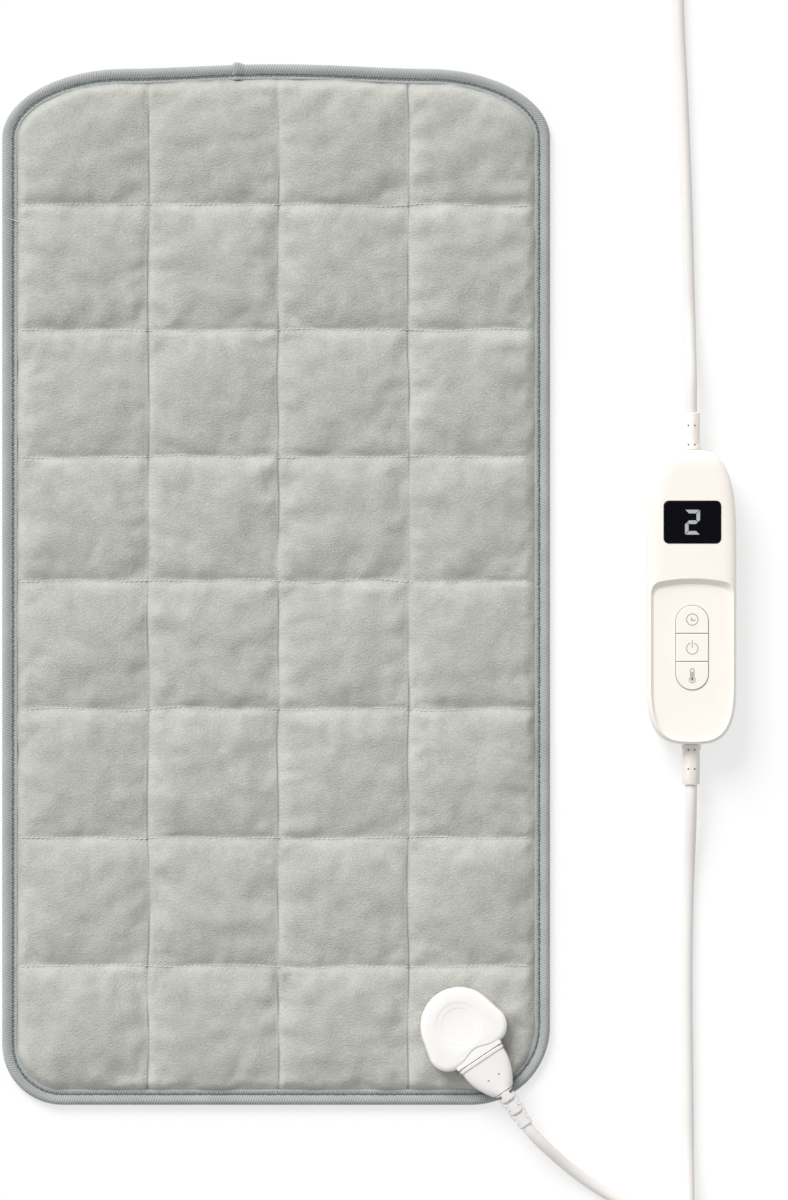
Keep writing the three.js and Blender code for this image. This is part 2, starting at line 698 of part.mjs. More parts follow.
// A bar along +X with rounded long edges, centred on the plug's axis.
function roundedBar(from, to, width, height, corner) {
  const outline = roundedRectangle(width, height, corner);
  return loft([from, to].map((x) => outline.map((p) => new THREE.Vector3(x, p.x, plugAxis + p.y))));
}

function alongPlug(profile, y, sides = SMALL_ROUND) {
  return moved(revolve(profile, sides, ALONG_X), 0, y, plugAxis);
}

// The socket cover's outline drawn in by `inset`: the hull of its round back and its two lobes.
function socketOutline(inset) {
  const lobes = [-1, 1].map((side) => (
    { x: -SOCKET_LOBE_BACK, y: (side * SOCKET_LOBE_SPACING) / 2, radius: SOCKET_LOBE }
  ));
  const circles = [...lobes, { x: -SOCKET_DISC_BACK, y: 0, radius: SOCKET_DISC }];
  const facing = (from, to) => {
    const distance = Math.hypot(to.x - from.x, to.y - from.y);
    const heading = Math.atan2(to.y - from.y, to.x - from.x);
    return heading - Math.acos((from.radius - to.radius) / distance);
  };
  return circles.flatMap((circle, i) => {
    const start = facing(circles.at(i - 1), circle);
    const stop = facing(circle, circles[(i + 1) % circles.length]);
    const sweep = THREE.MathUtils.euclideanModulo(stop - start, 2 * Math.PI);
    return Array.from({ length: SOCKET_ARC_STEPS + 1 }, (_, step) => {
      const angle = start + (sweep * step) / SOCKET_ARC_STEPS;
      return new THREE.Vector2(
        circle.x + (circle.radius - inset) * Math.cos(angle),
        circle.y + (circle.radius - inset) * Math.sin(angle),
      );
    });
  });
}

// What is stepped down above the collar: its back edge runs in a wave across the cover's top.
function lipOutline() {
  const back = Array.from({ length: SOCKET_ARC_STEPS + 1 }, (_, i) => {
    const across = COLLAR_WIDTH * (i / SOCKET_ARC_STEPS - 0.5);
    const wave = LIP_WAVE * Math.exp(-((across / LIP_WAVE_WIDTH) ** 2));
    return new THREE.Vector2(-LIP_BACK - wave, across);
  });
  const front = [1, -1].map((side) => new THREE.Vector2(OVERCUT, (side * COLLAR_WIDTH) / 2));
  return [...back, ...front];
}

function socketPieces(group) {
  const chamferLow = socketHigh - SOCKET_CHAMFER_DROP;
  const body = loft([
    [SOCKET_FOOT_EDGE, socketLow], [0, socketLow + SOCKET_FOOT_EDGE], [0, chamferLow - SOCKET_SHOULDER_DROP],
    [SOCKET_SHOULDER, chamferLow], [SOCKET_SHOULDER + SOCKET_CHAMFER, socketHigh],
  ].map(([inset, z]) => atHeight(socketOutline(inset), z)));
  const collar = roundedBar(-COLLAR_ROOT, 0, COLLAR_WIDTH, COLLAR_HEIGHT, COLLAR_CORNER);
  const cover = join(body, collar);
  const dish = revolve([
    [socketHigh - DISH_DEPTH, 0], [socketHigh - DISH_DEPTH, DISH_FLOOR_RADIUS], [socketHigh, DISH_RADIUS],
    [socketHigh + OVERCUT, DISH_RADIUS], [socketHigh + OVERCUT, 0],
  ], ROUND, ALONG_Z);
  const lipTop = prism(lipOutline(), plugAxis + COLLAR_HEIGHT / 2, socketHigh + OVERCUT);
  const throat = roundedBar(
    -THROAT_DEPTH, OVERCUT, NOSE_WIDTH + 2 * GAP, NOSE_HEIGHT + 2 * GAP, NOSE_CORNER + GAP,
  );
  const pinHole = PIN_DIAMETER / 2 + GAP;
  const rootEnd = -THROAT_DEPTH - PIN_ROOT - GAP;
  const rootFront = OVERCUT - THROAT_DEPTH;
  const pinHoles = contactPlaces.map((y) => (
    alongPlug([[rootEnd, 0], [rootEnd, pinHole], [rootFront, pinHole], [rootFront, 0]], y)
  ));
  const screwTop = baseHigh + SOCKET_HEIGHT / 2 + 2 * GAP;
  const screwHoles = baseScrews.map(([x, y]) => rod(screwHole, 0, screwTop, x, y));
  const ductTop = socketLow + DUCT_REACH;
  const ductHole = rod(DUCT_RADIUS + GAP, 0, ductTop + GAP, -DUCT_BACK, 0, ROUND);
  add(group, 'socket_cover', cut(
    cover, lipTop, moved(dish, -DISH_BACK, 0, 0), throat,
    ...pinHoles, ...screwHoles, ductHole,
  ), white);

  const headRecess = SCREW_HEAD / 2 + GAP;
  const recessTop = baseLow + SCREW_RECESS + GAP;
  add(group, 'socket_base', cut(
    join(rod(BASE_RADIUS, baseLow, baseHigh, -BASE_BACK, 0, ROUND),
      rod(DUCT_RADIUS, baseLow, ductTop, -DUCT_BACK, 0, ROUND)),
    rod(DUCT_RADIUS - DUCT_WALL, 0, 2 * ductTop, -DUCT_BACK, 0),
    ...baseScrews.map(([x, y]) => rod(screwHole, 0, 2 * baseHigh, x, y)),
    ...baseScrews.map(([x, y]) => rod(headRecess, 0, recessTop, x, y)),
  ), white);
  baseScrews.forEach(([x, y], i) => {
    const head = recessTop - GAP;
    const tip = screwTop - GAP;
    const profile = [
      [baseLow, 0], [baseLow, SCREW_HEAD / 2], [head, SCREW_HEAD / 2], [head, SCREW_DIAMETER / 2],
      [tip - SCREW_DIAMETER / 2, SCREW_DIAMETER / 2], [tip, 0],
    ];
    add(group, `socket_screw_${i + 1}`, moved(revolve(profile, SMALL_ROUND, ALONG_Z), x, y, 0), steel);
  });
  contactPlaces.forEach((y, i) => {
    const radius = PIN_DIAMETER / 2;
    const root = -THROAT_DEPTH - PIN_ROOT;
    const profile = [
      [root, 0], [root, radius], [-PIN_TIP_CLEAR - radius, radius], [-PIN_TIP_CLEAR, radius / 2],
      [-PIN_TIP_CLEAR, 0],
    ];
    add(group, `socket_pin_${i + 1}`, alongPlug(profile, y), brass);
  });
}

function plugPieces(group) {
  const sleeveBore = PIN_DIAMETER / 2 + GAP;
  const sleeveRadius = sleeveBore + SLEEVE_WALL;
  const end = PLUG_MATE_GAP + PLUG_LENGTH;
  const lipEnd = PLUG_MATE_GAP + PLUG_LIP;
  const fanWidth = PLUG_WIDTH - 2 * PLUG_STEP;
  const fanHeight = PLUG_HEIGHT - 2 * PLUG_STEP;
  const lip = (along, edge) => (
    section(along, PLUG_WIDTH - 2 * edge, PLUG_HEIGHT - 2 * edge, PLUG_LIP_POWER, plugAxis)
  );
  const fan = Array.from({ length: PLUG_FAN_STEPS + 1 }, (_, i) => {
    const share = i / PLUG_FAN_STEPS;
    const narrowing = 1 - share ** PLUG_FAN_CURVE;
    const width = THREE.MathUtils.lerp(PLUG_NECK, fanWidth, narrowing);
    const height = THREE.MathUtils.lerp(fanHeight, PLUG_NECK_HEIGHT, share);
    const power = THREE.MathUtils.lerp(PLUG_FAN_POWER, PLUG_NECK_POWER, share);
    return section(THREE.MathUtils.lerp(lipEnd, end, share), width, height, power, plugAxis);
  });
  const body = loft([
    lip(PLUG_MATE_GAP, PLUG_EDGE), lip(PLUG_MATE_GAP + PLUG_EDGE, 0), lip(lipEnd - PLUG_EDGE, 0), ...fan,
  ]);
  const noseRoot = PLUG_MATE_GAP + PLUG_LIP / 2;
  const nose = roundedBar(-NOSE_LENGTH, noseRoot, NOSE_WIDTH, NOSE_HEIGHT, NOSE_CORNER);
  const boreStart = -NOSE_LENGTH - OVERCUT;
  const boreEnd = BORE_PAST_PIN - PIN_TIP_CLEAR;
  const bores = contactPlaces.map((y) => {
    const radius = sleeveRadius + GAP;
    return alongPlug([[boreStart, 0], [boreStart, radius], [boreEnd, radius], [boreEnd, 0]], y);
  });
  const holeX = PLUG_MATE_GAP + MOULD_HOLE_BACK;
  const holes = [-1, 1].map((side) => {
    const y = (side * MOULD_HOLE_SPACING) / 2;
    return rod(MOULD_HOLE / 2, plugAxis + MOULD_HOLE_FLOOR, plugAxis + PLUG_HEIGHT, holeX, y, HOLE_SIDES);
  });
  add(group, 'connector_plug_body', cut(join(body, nose), ...bores, ...holes), white);

  contactPlaces.forEach((y, i) => {
    const front = -NOSE_LENGTH + GAP;
    const back = boreEnd - GAP;
    const profile = [
      [front, sleeveBore], [front, sleeveRadius], [back, sleeveRadius], [back, sleeveBore],
      [front, sleeveBore],
    ];
    add(group, `connector_contact_${i + 1}`, alongPlug(profile, y), brass);
  });

  const start = end + GAP;
  const tip = start + RELIEF_LENGTH;
  const reliefShape = alongPlug([
    [start, 0], [start, RELIEF_ROOT / 2], [tip - RELIEF_EDGE, RELIEF_TIP / 2],
    [tip, RELIEF_TIP / 2 - RELIEF_EDGE], [tip, 0],
  ], 0, ROUND);
  const slots = Array.from({ length: RELIEF_SLOTS }, (_, i) => [-1, 1].map((side) => {
    const along = start + RELIEF_FIRST_SLOT + i * RELIEF_SLOT_PITCH;
    const away = (side * (RELIEF_CORE + RELIEF_ROOT)) / 2;
    if (i % 2 === 0) return box(RELIEF_SLOT, RELIEF_ROOT, 0, 2 * plugAxis, along, away);
    const level = plugAxis + away;
    return box(RELIEF_SLOT, 2 * RELIEF_ROOT, level - RELIEF_ROOT / 2, level + RELIEF_ROOT / 2, along, 0);
  })).flat();
  add(group, 'connector_strain_relief', cut(reliefShape, ...slots), white);
  return tip;
}

// Controller levels
const trayFloor = CASE_HEIGHT - TRAY_DEPTH;
const panelLow = trayFloor - CASE_WALL;
const flangeHigh = panelLow - GAP;
const flangeLow = flangeHigh - KEY_FLANGE_THICK;
const stemLow = flangeLow - KEY_STEM;
const plungerHigh = stemLow - GAP;
const switchHigh = plungerHigh - PLUNGER_RISE;
const switchLow = switchHigh - SWITCH_HEIGHT;
const boardHigh = switchLow - GAP;
const boardLow = boardHigh - BOARD_THICK;
const ceiling = CASE_HEIGHT - CASE_WALL;
const splitLow = CASE_SPLIT - GAP / 2;
const splitHigh = CASE_SPLIT + GAP / 2;

// Controller places along its length
const caseTop = CASE_LENGTH / 2;
const caseBottom = -CASE_LENGTH / 2;
const lensY = caseTop - LENS_FROM_TOP;
const trayTop = caseTop - TRAY_FROM_TOP;
const bankTop = trayTop - KEY_BANK_FROM_TRAY;
const keyNames = ['timer', 'power', 'temperature'];
const lastKey = keyNames.length - 1;
const keyPitch = KEY_BANK_LENGTH / keyNames.length;
const bosses = [-1, 1].flatMap((side) => (
  [caseTop - BOSS_FROM_TOP, caseBottom + BOSS_FROM_BOTTOM].map((y) => [(side * BOSS_SPACING) / 2, y])
));
const boardHalf = CASE_WIDTH / 2 - CASE_WALL - BOARD_SIDE_CLEAR;
const boardTopEnd = caseTop - BOSS_FROM_TOP - BOSS_RADIUS - WIRE_GAP;
const boardBottomEnd = caseBottom + BOSS_FROM_BOTTOM + BOSS_RADIUS + WIRE_GAP;

// The case's outline drawn in by `inset`: straight flanks between two rounded ends.
function caseOutline(inset) {
  return [1, -1].flatMap((end) => {
    const reach = end > 0 ? CASE_UPPER_END : CASE_LOWER_END;
    return Array.from({ length: END_STEPS + 1 }, (_, i) => {
      const angle = (i / END_STEPS) * Math.PI;
      const x = end * (CASE_WIDTH / 2 - inset) * signedPower(Math.cos(angle), 2 / CASE_END_POWER);
      const rise = Math.abs(Math.sin(angle)) ** (2 / CASE_END_POWER);
      return new THREE.Vector2(x, end * (caseTop - reach + (reach - inset) * rise));
    });
  });
}

// Rings up the rolled upper edge, drawn in and down by `wall` for the inside.
function topRoll(wall) {
  return Array.from({ length: ROLL_STEPS + 1 }, (_, i) => {
    const angle = ((i / ROLL_STEPS) * Math.PI) / 2;
    const inset = CASE_TOP_ROLL * (1 - Math.cos(angle) ** (2 / CASE_ROLL_POWER));
    const drop = CASE_TOP_DROP * (1 - Math.sin(angle) ** (2 / CASE_ROLL_POWER));
    return atHeight(caseOutline(inset + wall), CASE_HEIGHT - drop - wall);
  });
}

function footRoll(wall) {
  return Array.from({ length: FOOT_STEPS + 1 }, (_, i) => {
    const angle = ((i / FOOT_STEPS) * Math.PI) / 2;
    const inset = CASE_FOOT_ROLL * (1 - Math.sin(angle));
    const rise = CASE_FOOT_ROLL * (1 - Math.cos(angle));
    return atHeight(caseOutline(inset + wall), rise + wall);
  });
}

// The key panel's outline, grown outwards: the case's lower end under a bowed upper edge.
function trayOutline(grow) {
  const half = CASE_WIDTH / 2 - TRAY_MARGIN + grow;
  const reach = CASE_LOWER_END - TRAY_MARGIN + grow;
  const topAt = (x) => trayTop + grow - TRAY_BOW * (x / half) ** 2;
  const points = [];
  for (let i = 0; i <= END_STEPS; i += 1) {
    const angle = (i / END_STEPS) * Math.PI;
    const x = -half * signedPower(Math.cos(angle), 2 / CASE_END_POWER);
    const fall = reach * Math.abs(Math.sin(angle)) ** (2 / CASE_END_POWER);
    points.push(new THREE.Vector2(x, caseBottom + CASE_LOWER_END - fall));
  }
  const corner = (side, share) => {
    const [from, to] = [topAt(half) - TRAY_CORNER, topAt(half - TRAY_CORNER)];
    const x = side * (half - TRAY_CORNER * share * share);
    const y = from * (1 - share) ** 2 + topAt(half) * 2 * share * (1 - share) + to * share * share;
    points.push(new THREE.Vector2(x, y));
  };
  const shares = Array.from({ length: RECTANGLE_STEPS + 1 }, (_, i) => i / RECTANGLE_STEPS);
  shares.forEach((share) => corner(1, share));
  TRAY_BOW_SHARES.forEach((share) => points.push(new THREE.Vector2(share * half, topAt(share * half))));
  shares.reverse().forEach((share) => corner(-1, share));
  return points;
}

function trayCutter(wall) {
  const over = CASE_HEIGHT + OVERCUT;
  const run = (TRAY_WALL_RUN * (over - trayFloor)) / TRAY_DEPTH;
  return loft([atHeight(trayOutline(wall), trayFloor - wall), atHeight(trayOutline(wall + run), over)]);
}

// One key's outline; `grow` widens its outer sides and leaves the splits between keys.
function keyOutline(place, grow) {
  const half = KEY_BANK_WIDTH / 2 + grow;
  const high = bankTop - place * keyPitch - (place === 0 ? 0 : GAP / 2);
  const low = bankTop - (place + 1) * keyPitch + (place === lastKey ? 0 : GAP / 2);
  const shape = new THREE.Shape();
  if (place === lastKey) shape.absarc(0, low + half - grow, half, Math.PI, Math.PI * 2);
  else shape.moveTo(-half, low).lineTo(half, low);
  if (place === 0) shape.absarc(0, high - half + grow, half, 0, Math.PI);
  else shape.lineTo(half, high).lineTo(-half, high);
  return shape.getPoints(SMALL_ROUND);
}

function keyWell() {
  const half = KEY_BANK_WIDTH / 2;
  const shape = new THREE.Shape();
  shape.absarc(0, bankTop - half, half + GAP, 0, Math.PI);
  shape.absarc(0, bankTop - KEY_BANK_LENGTH + half, half + GAP, Math.PI, Math.PI * 2);
  return prism(shape.getPoints(SMALL_ROUND), panelLow - OVERCUT, CASE_HEIGHT);
}

function sleeveNotch(end) {
  const length = 4 * CASE_WALL;
  const profile = [
    [-length, 0], [-length, SLEEVE_NECK / 2 + GAP], [length, SLEEVE_NECK / 2 + GAP], [length, 0],
  ];
  return moved(revolve(profile, ROUND, ALONG_Y), 0, end, CASE_SPLIT);
}

function casePieces(group) {
  const notches = [sleeveNotch(caseTop), sleeveNotch(caseBottom)];
  const screwTip = CASE_SPLIT + SCREW_GRIP;
  const upper = loft([atHeight(caseOutline(0), splitHigh), ...topRoll(0)]);
  const upperRoom = cut(
    loft([atHeight(caseOutline(CASE_WALL), 0), ...topRoll(CASE_WALL)]), trayCutter(CASE_WALL),
  );
  const bossTop = (y) => (y > trayTop ? ceiling : panelLow) + CASE_WALL / 2;
  const upperBosses = bosses.map(([x, y]) => rod(BOSS_RADIUS, splitHigh, bossTop(y), x, y));
  const screwHoles = bosses.map(([x, y]) => rod(screwHole, 0, screwTip + GAP, x, y));
  const pocketLow = CASE_HEIGHT + LENS_PROUD - LENS_THICK - GAP;
  const over = CASE_HEIGHT + OVERCUT;
  const pocketOutline = roundedRectangle(
    LENS_WIDTH + 2 * GAP, LENS_LENGTH + 2 * GAP, LENS_CORNER + GAP, 0, lensY,
  );
  const windowOutline = roundedRectangle(
    LENS_WIDTH - 2 * LENS_LEDGE, LENS_LENGTH - 2 * LENS_LEDGE, LENS_CORNER, 0, lensY,
  );
  const shell = cut(
    upper, upperRoom, trayCutter(0), keyWell(),
    prism(pocketOutline, pocketLow, over), prism(windowOutline, ceiling - OVERCUT, over),
  );
  add(group, 'case_upper', cut(join(shell, ...upperBosses), ...screwHoles, ...notches), cream);

  const lower = loft([...footRoll(0), atHeight(caseOutline(0), splitLow)]);
  const lowerRoom = loft([...footRoll(CASE_WALL), atHeight(caseOutline(CASE_WALL), CASE_HEIGHT)]);
  const lowerBosses = bosses.map(([x, y]) => rod(BOSS_RADIUS, CASE_WALL / 2, splitLow, x, y));
  const postRows = [boardTopEnd - POST_INSET, boardBottomEnd + POST_INSET];
  const posts = [-1, 1].flatMap((side) => postRows.map((y) => (
    rod(POST_RADIUS, CASE_WALL / 2, boardLow - GAP, side * (boardHalf - POST_INSET), y)
  )));
  const recessTop = SCREW_RECESS + SCREW_HEAD_HEIGHT + GAP;
  const recesses = bosses.map(([x, y]) => rod(SCREW_HEAD / 2 + GAP, -OVERCUT, recessTop, x, y));
  add(group, 'case_lower', cut(
    join(cut(lower, lowerRoom), ...lowerBosses, ...posts), ...screwHoles, ...recesses, ...notches,
  ), cream);

  bosses.forEach(([x, y], i) => {
    const head = SCREW_RECESS + SCREW_HEAD_HEIGHT;
    const profile = [
      [SCREW_RECESS, 0], [SCREW_RECESS, SCREW_HEAD / 2], [head, SCREW_HEAD / 2], [head, SCREW_DIAMETER / 2],
      [screwTip - SCREW_DIAMETER / 2, SCREW_DIAMETER / 2], [screwTip, 0],
    ];
    add(group, `case_screw_${i + 1}`, moved(revolve(profile, SMALL_ROUND, ALONG_Z), x, y, 0), steel);
  });
  const lensHigh = CASE_HEIGHT + LENS_PROUD;
  const lensOutline = (inset) => (
    roundedRectangle(LENS_WIDTH - 2 * inset, LENS_LENGTH - 2 * inset, LENS_CORNER - inset, 0, lensY)
  );
  add(group, 'display_lens', loft([
    atHeight(lensOutline(0), lensHigh - LENS_THICK),
    atHeight(lensOutline(0), lensHigh - LENS_PROUD),
    atHeight(lensOutline(LENS_PROUD), lensHigh),
  ]), black);
}

function keyPieces(group) {
  keyNames.forEach((name, place) => {
    const middle = bankTop - (place + 0.5) * keyPitch;
    const top = trayFloor + KEY_PROUD;
    const cap = new THREE.ExtrudeGeometry(new THREE.Shape(keyOutline(place, 0)), {
      depth: top - flangeLow - 2 * KEY_BEVEL,
      bevelThickness: KEY_BEVEL,
      bevelSize: KEY_BEVEL,
      bevelOffset: -KEY_BEVEL,
      bevelSegments: 1,
    });
    const flange = prism(keyOutline(place, KEY_FLANGE), flangeLow, flangeHigh);
    const stem = rod(KEY_STEM_RADIUS, stemLow, flangeHigh, 0, middle);
    add(group, `${name}_key`, join(tidy(cap.translate(0, 0, flangeLow + KEY_BEVEL)), flange, stem), cream);

    const seat = switchHigh - PLUNGER_SEAT;
    const bore = rod(PLUNGER_RADIUS + GAP, seat - PLUNGER_STROKE, CASE_HEIGHT, 0, middle);
    const block = box(SWITCH_SIDE, SWITCH_SIDE, switchLow, switchHigh, 0, middle);
    add(group, `${name}_switch`, cut(block, bore), darkPlastic);
    add(group, `${name}_plunger`, rod(PLUNGER_RADIUS, seat, plungerHigh, 0, middle), white);
  });
}

function boardPieces(group) {
  const rest = boardHigh + GAP;
  const board = roundedRectangle(
    2 * boardHalf, boardTopEnd - boardBottomEnd, POST_RADIUS, 0, (boardTopEnd + boardBottomEnd) / 2,
  );
  add(group, 'circuit_board', prism(board, boardLow, boardHigh), boardGreen);
  const module = box(MODULE_WIDTH, MODULE_LENGTH, rest, ceiling - GAP, 0, lensY);
  add(group, 'display_module', module, darkPlastic);

  const row = lensY - POWER_ROW_BACK;
  const fuseEnd = FUSE_LENGTH / 2;
  const tube = FUSE_DIAMETER / 2 - FUSE_CAP_RISE;
  const fuse = revolve([
    [-fuseEnd, 0], [-fuseEnd, FUSE_DIAMETER / 2], [FUSE_CAP - fuseEnd, FUSE_DIAMETER / 2],
    [FUSE_CAP - fuseEnd, tube], [fuseEnd - FUSE_CAP, tube],
    [fuseEnd - FUSE_CAP, FUSE_DIAMETER / 2], [fuseEnd, FUSE_DIAMETER / 2], [fuseEnd, 0],
  ], SMALL_ROUND, ALONG_Y);
  add(group, 'mains_fuse', moved(fuse, -POWER_ROW_SPACING, row, rest + FUSE_DIAMETER / 2), glass);
  add(group, 'film_capacitor', box(
    CAPACITOR_WIDTH, CAPACITOR_LENGTH, rest, rest + CAPACITOR_HEIGHT, POWER_ROW_SPACING, row,
  ), red);
  const triacBody = box(TRIAC_WIDTH, TRIAC_LENGTH, rest, rest + TRIAC_THICK, 0, row);
  const tabY = row + TRIAC_LENGTH / 2;
  const triacTab = box(TRIAC_WIDTH, 2 * TRIAC_TAB, rest, rest + TRIAC_TAB_THICK, 0, tabY);
  add(group, 'triac', join(triacBody, triacTab), darkPlastic);
  const chipY = bankTop - KEY_BANK_LENGTH / 2;
  const chipX = (SWITCH_SIDE / 2 + boardHalf) / 2;
  const chip = box(CHIP_WIDTH, CHIP_LENGTH, rest, rest + CHIP_HEIGHT, chipX, chipY);
  add(group, 'microcontroller', chip, darkPlastic);

  // Each lead's two wires fan out from the sleeve's flange onto the end of the board.
  const wireRest = boardHigh + GAP + INNER_WIRE / 2;
  [['mains', 1, boardTopEnd], ['pad', -1, boardBottomEnd]].forEach(([name, end, boardEnd]) => {
    const start = end * (caseTop - CASE_WALL - SLEEVE_FLANGE_CLEAR - SLEEVE_FLANGE_THICK - GAP);
    [['live', 1], ['neutral', -1]].forEach(([pole, side]) => {
      const near = (side * INNER_WIRE_SPACING) / 2;
      const far = side * (SWITCH_SIDE / 2 + INNER_WIRE);
      const route = [
        new THREE.Vector3(near, start, CASE_SPLIT),
        new THREE.Vector3(near, start - end * INNER_WIRE_STRAIGHT, CASE_SPLIT),
        new THREE.Vector3(far, boardEnd + end * INNER_WIRE_FALL, wireRest + GAP),
        new THREE.Vector3(far, boardEnd, wireRest),
        new THREE.Vector3(far, boardEnd - end * INNER_WIRE_STRAIGHT, wireRest),
      ];
      const wire = tubeThrough(route, INNER_WIRE, CORD_SIDES);
      add(group, `${name}_${pole}_wire`, wire, pole === 'live' ? red : black);
    });
  });
}

// A moulded sleeve: flange inside the case, neck through its wall, collar and sleeve outside.
function leadSleeve(length) {
  const wallIn = -CASE_WALL - SLEEVE_FLANGE_CLEAR;
  const flangeIn = wallIn - SLEEVE_FLANGE_THICK;
  const collar = SLEEVE_DIAMETER / 2 + SLEEVE_COLLAR_RISE;
  const tube = SLEEVE_DIAMETER / 2;
  const shape = revolve([
    [flangeIn, 0], [flangeIn, SLEEVE_FLANGE / 2], [wallIn, SLEEVE_FLANGE / 2], [wallIn, SLEEVE_NECK / 2],
    [GAP, SLEEVE_NECK / 2], [GAP, collar], [SLEEVE_COLLAR, collar],
    [SLEEVE_COLLAR + SLEEVE_COLLAR_RISE, tube], [length - SLEEVE_LIP, tube], [length, tube - SLEEVE_LIP],
    [length, 0],
  ], SLEEVE_SIDES, ALONG_Y);
  const holes = SLEEVE_HOLE_STEPS.flatMap((along) => [-1, 1].map((side) => {
    const x = (side * SLEEVE_HOLE_SPACING) / 2;
    return rod(SLEEVE_HOLE / 2, SLEEVE_HOLE_FLOOR, SLEEVE_DIAMETER, x, along, HOLE_SIDES);
  }));
  return cut(shape, ...holes);
}

function sleevePieces(group) {
  const top = leadSleeve(SLEEVE_TOP_LENGTH);
  const bottom = leadSleeve(SLEEVE_BOTTOM_LENGTH);
  add(group, 'strain_relief_mains', moved(top, 0, caseTop, CASE_SPLIT), white);
  add(group, 'strain_relief_pad', moved(bottom.rotateZ(Math.PI), 0, caseBottom, CASE_SPLIT), white);
}

// A coil's axis: it spirals in on the surface, climbs where the spiral reverses, and spirals out.
function coilRoute(coil) {
  const reach = Math.hypot(coil.turns / 2, COIL_ROUNDING) - COIL_ROUNDING;
  const inner = coil.outer - COIL_PITCH * reach;
  const steps = Math.round(coil.turns * COIL_STEPS);
  const low = COIL_LIFT + CORD / 2;
  const points = Array.from({ length: steps + 1 }, (_, i) => {
    const turn = (i / steps - 0.5) * coil.turns;
    const angle = THREE.MathUtils.degToRad(coil.start) + coil.way * (turn + coil.turns / 2) * Math.PI * 2;
    const radius = inner + COIL_PITCH * (Math.hypot(turn, COIL_ROUNDING) - COIL_ROUNDING);
    const z = low + COIL_LAYER * THREE.MathUtils.smoothstep(turn, -COIL_CLIMB / 2, COIL_CLIMB / 2);
    return new THREE.Vector3(coil.x + radius * Math.cos(angle), coil.y + radius * Math.sin(angle), z);
  });
  const tangent = (at, sense) => {
    const angle = THREE.MathUtils.degToRad(coil.start) + coil.way * at * coil.turns * Math.PI * 2;
    const way = coil.way * sense;
    return new THREE.Vector3(-Math.sin(angle) * way, Math.cos(angle) * way, 0);
  };
  const first = points[0].clone().addScaledVector(tangent(0, -1), CORD);
  const last = points.at(-1).clone().addScaledVector(tangent(1, 1), CORD);
  return { points: [first, ...points, last], inner };
}

// The least room between a coil's turns, measured from axis to axis less one diameter.
function leastSelfGap(points) {
  const apart = COIL_STEPS / 2;
  let least = Infinity;
  for (let i = 0; i < points.length; i += 1) {
    for (let j = i + apart; j + 1 < points.length; j += 1) {
      const line = new THREE.Line3(points[j], points[j + 1]);
      const near = line.closestPointToPoint(points[i], true, new THREE.Vector3());
      least = Math.min(least, near.distanceTo(points[i]));
    }
  }
  return least - CORD;
}

// A flat tie round all the turns of a coil, at the coil's `tie` angle.
function coilTie(coil, inner) {
  const room = CORD / 2 + WIRE_GAP;
  const width = coil.outer - inner + 2 * room;
  const low = COIL_LIFT - GAP;
  const height = COIL_LAYER + CORD + GAP + WIRE_GAP;
  const outline = (grow) => (
    roundedRectangle(width + 2 * grow, height + 2 * grow, TIE_CORNER + grow, 0, height / 2)
  );
  const shape = new THREE.Shape(outline(TIE_THICK));
  shape.holes.push(new THREE.Path(outline(0)));
  const band = new THREE.ExtrudeGeometry(shape, { depth: TIE_WIDTH, bevelEnabled: false });
  band.translate(0, 0, -TIE_WIDTH / 2).rotateX(Math.PI / 2).translate((coil.outer + inner) / 2, 0, low);
  band.rotateZ(THREE.MathUtils.degToRad(coil.tie)).translate(coil.x, coil.y, 0);
  return tidy(band);
}

function coilPieces(name, coil) {
  const { points, inner } = coilRoute(coil);
  add(part, `${name}_coil`, tubeThrough(points, CORD, COIL_SIDES), cordGrey);
  add(part, `${name}_tie`, coilTie(coil, inner), darkPlastic);
  console.log(`${name}_coil: least gap to itself ${leastSelfGap(points).toFixed(2)} mm`);
  return points;
}

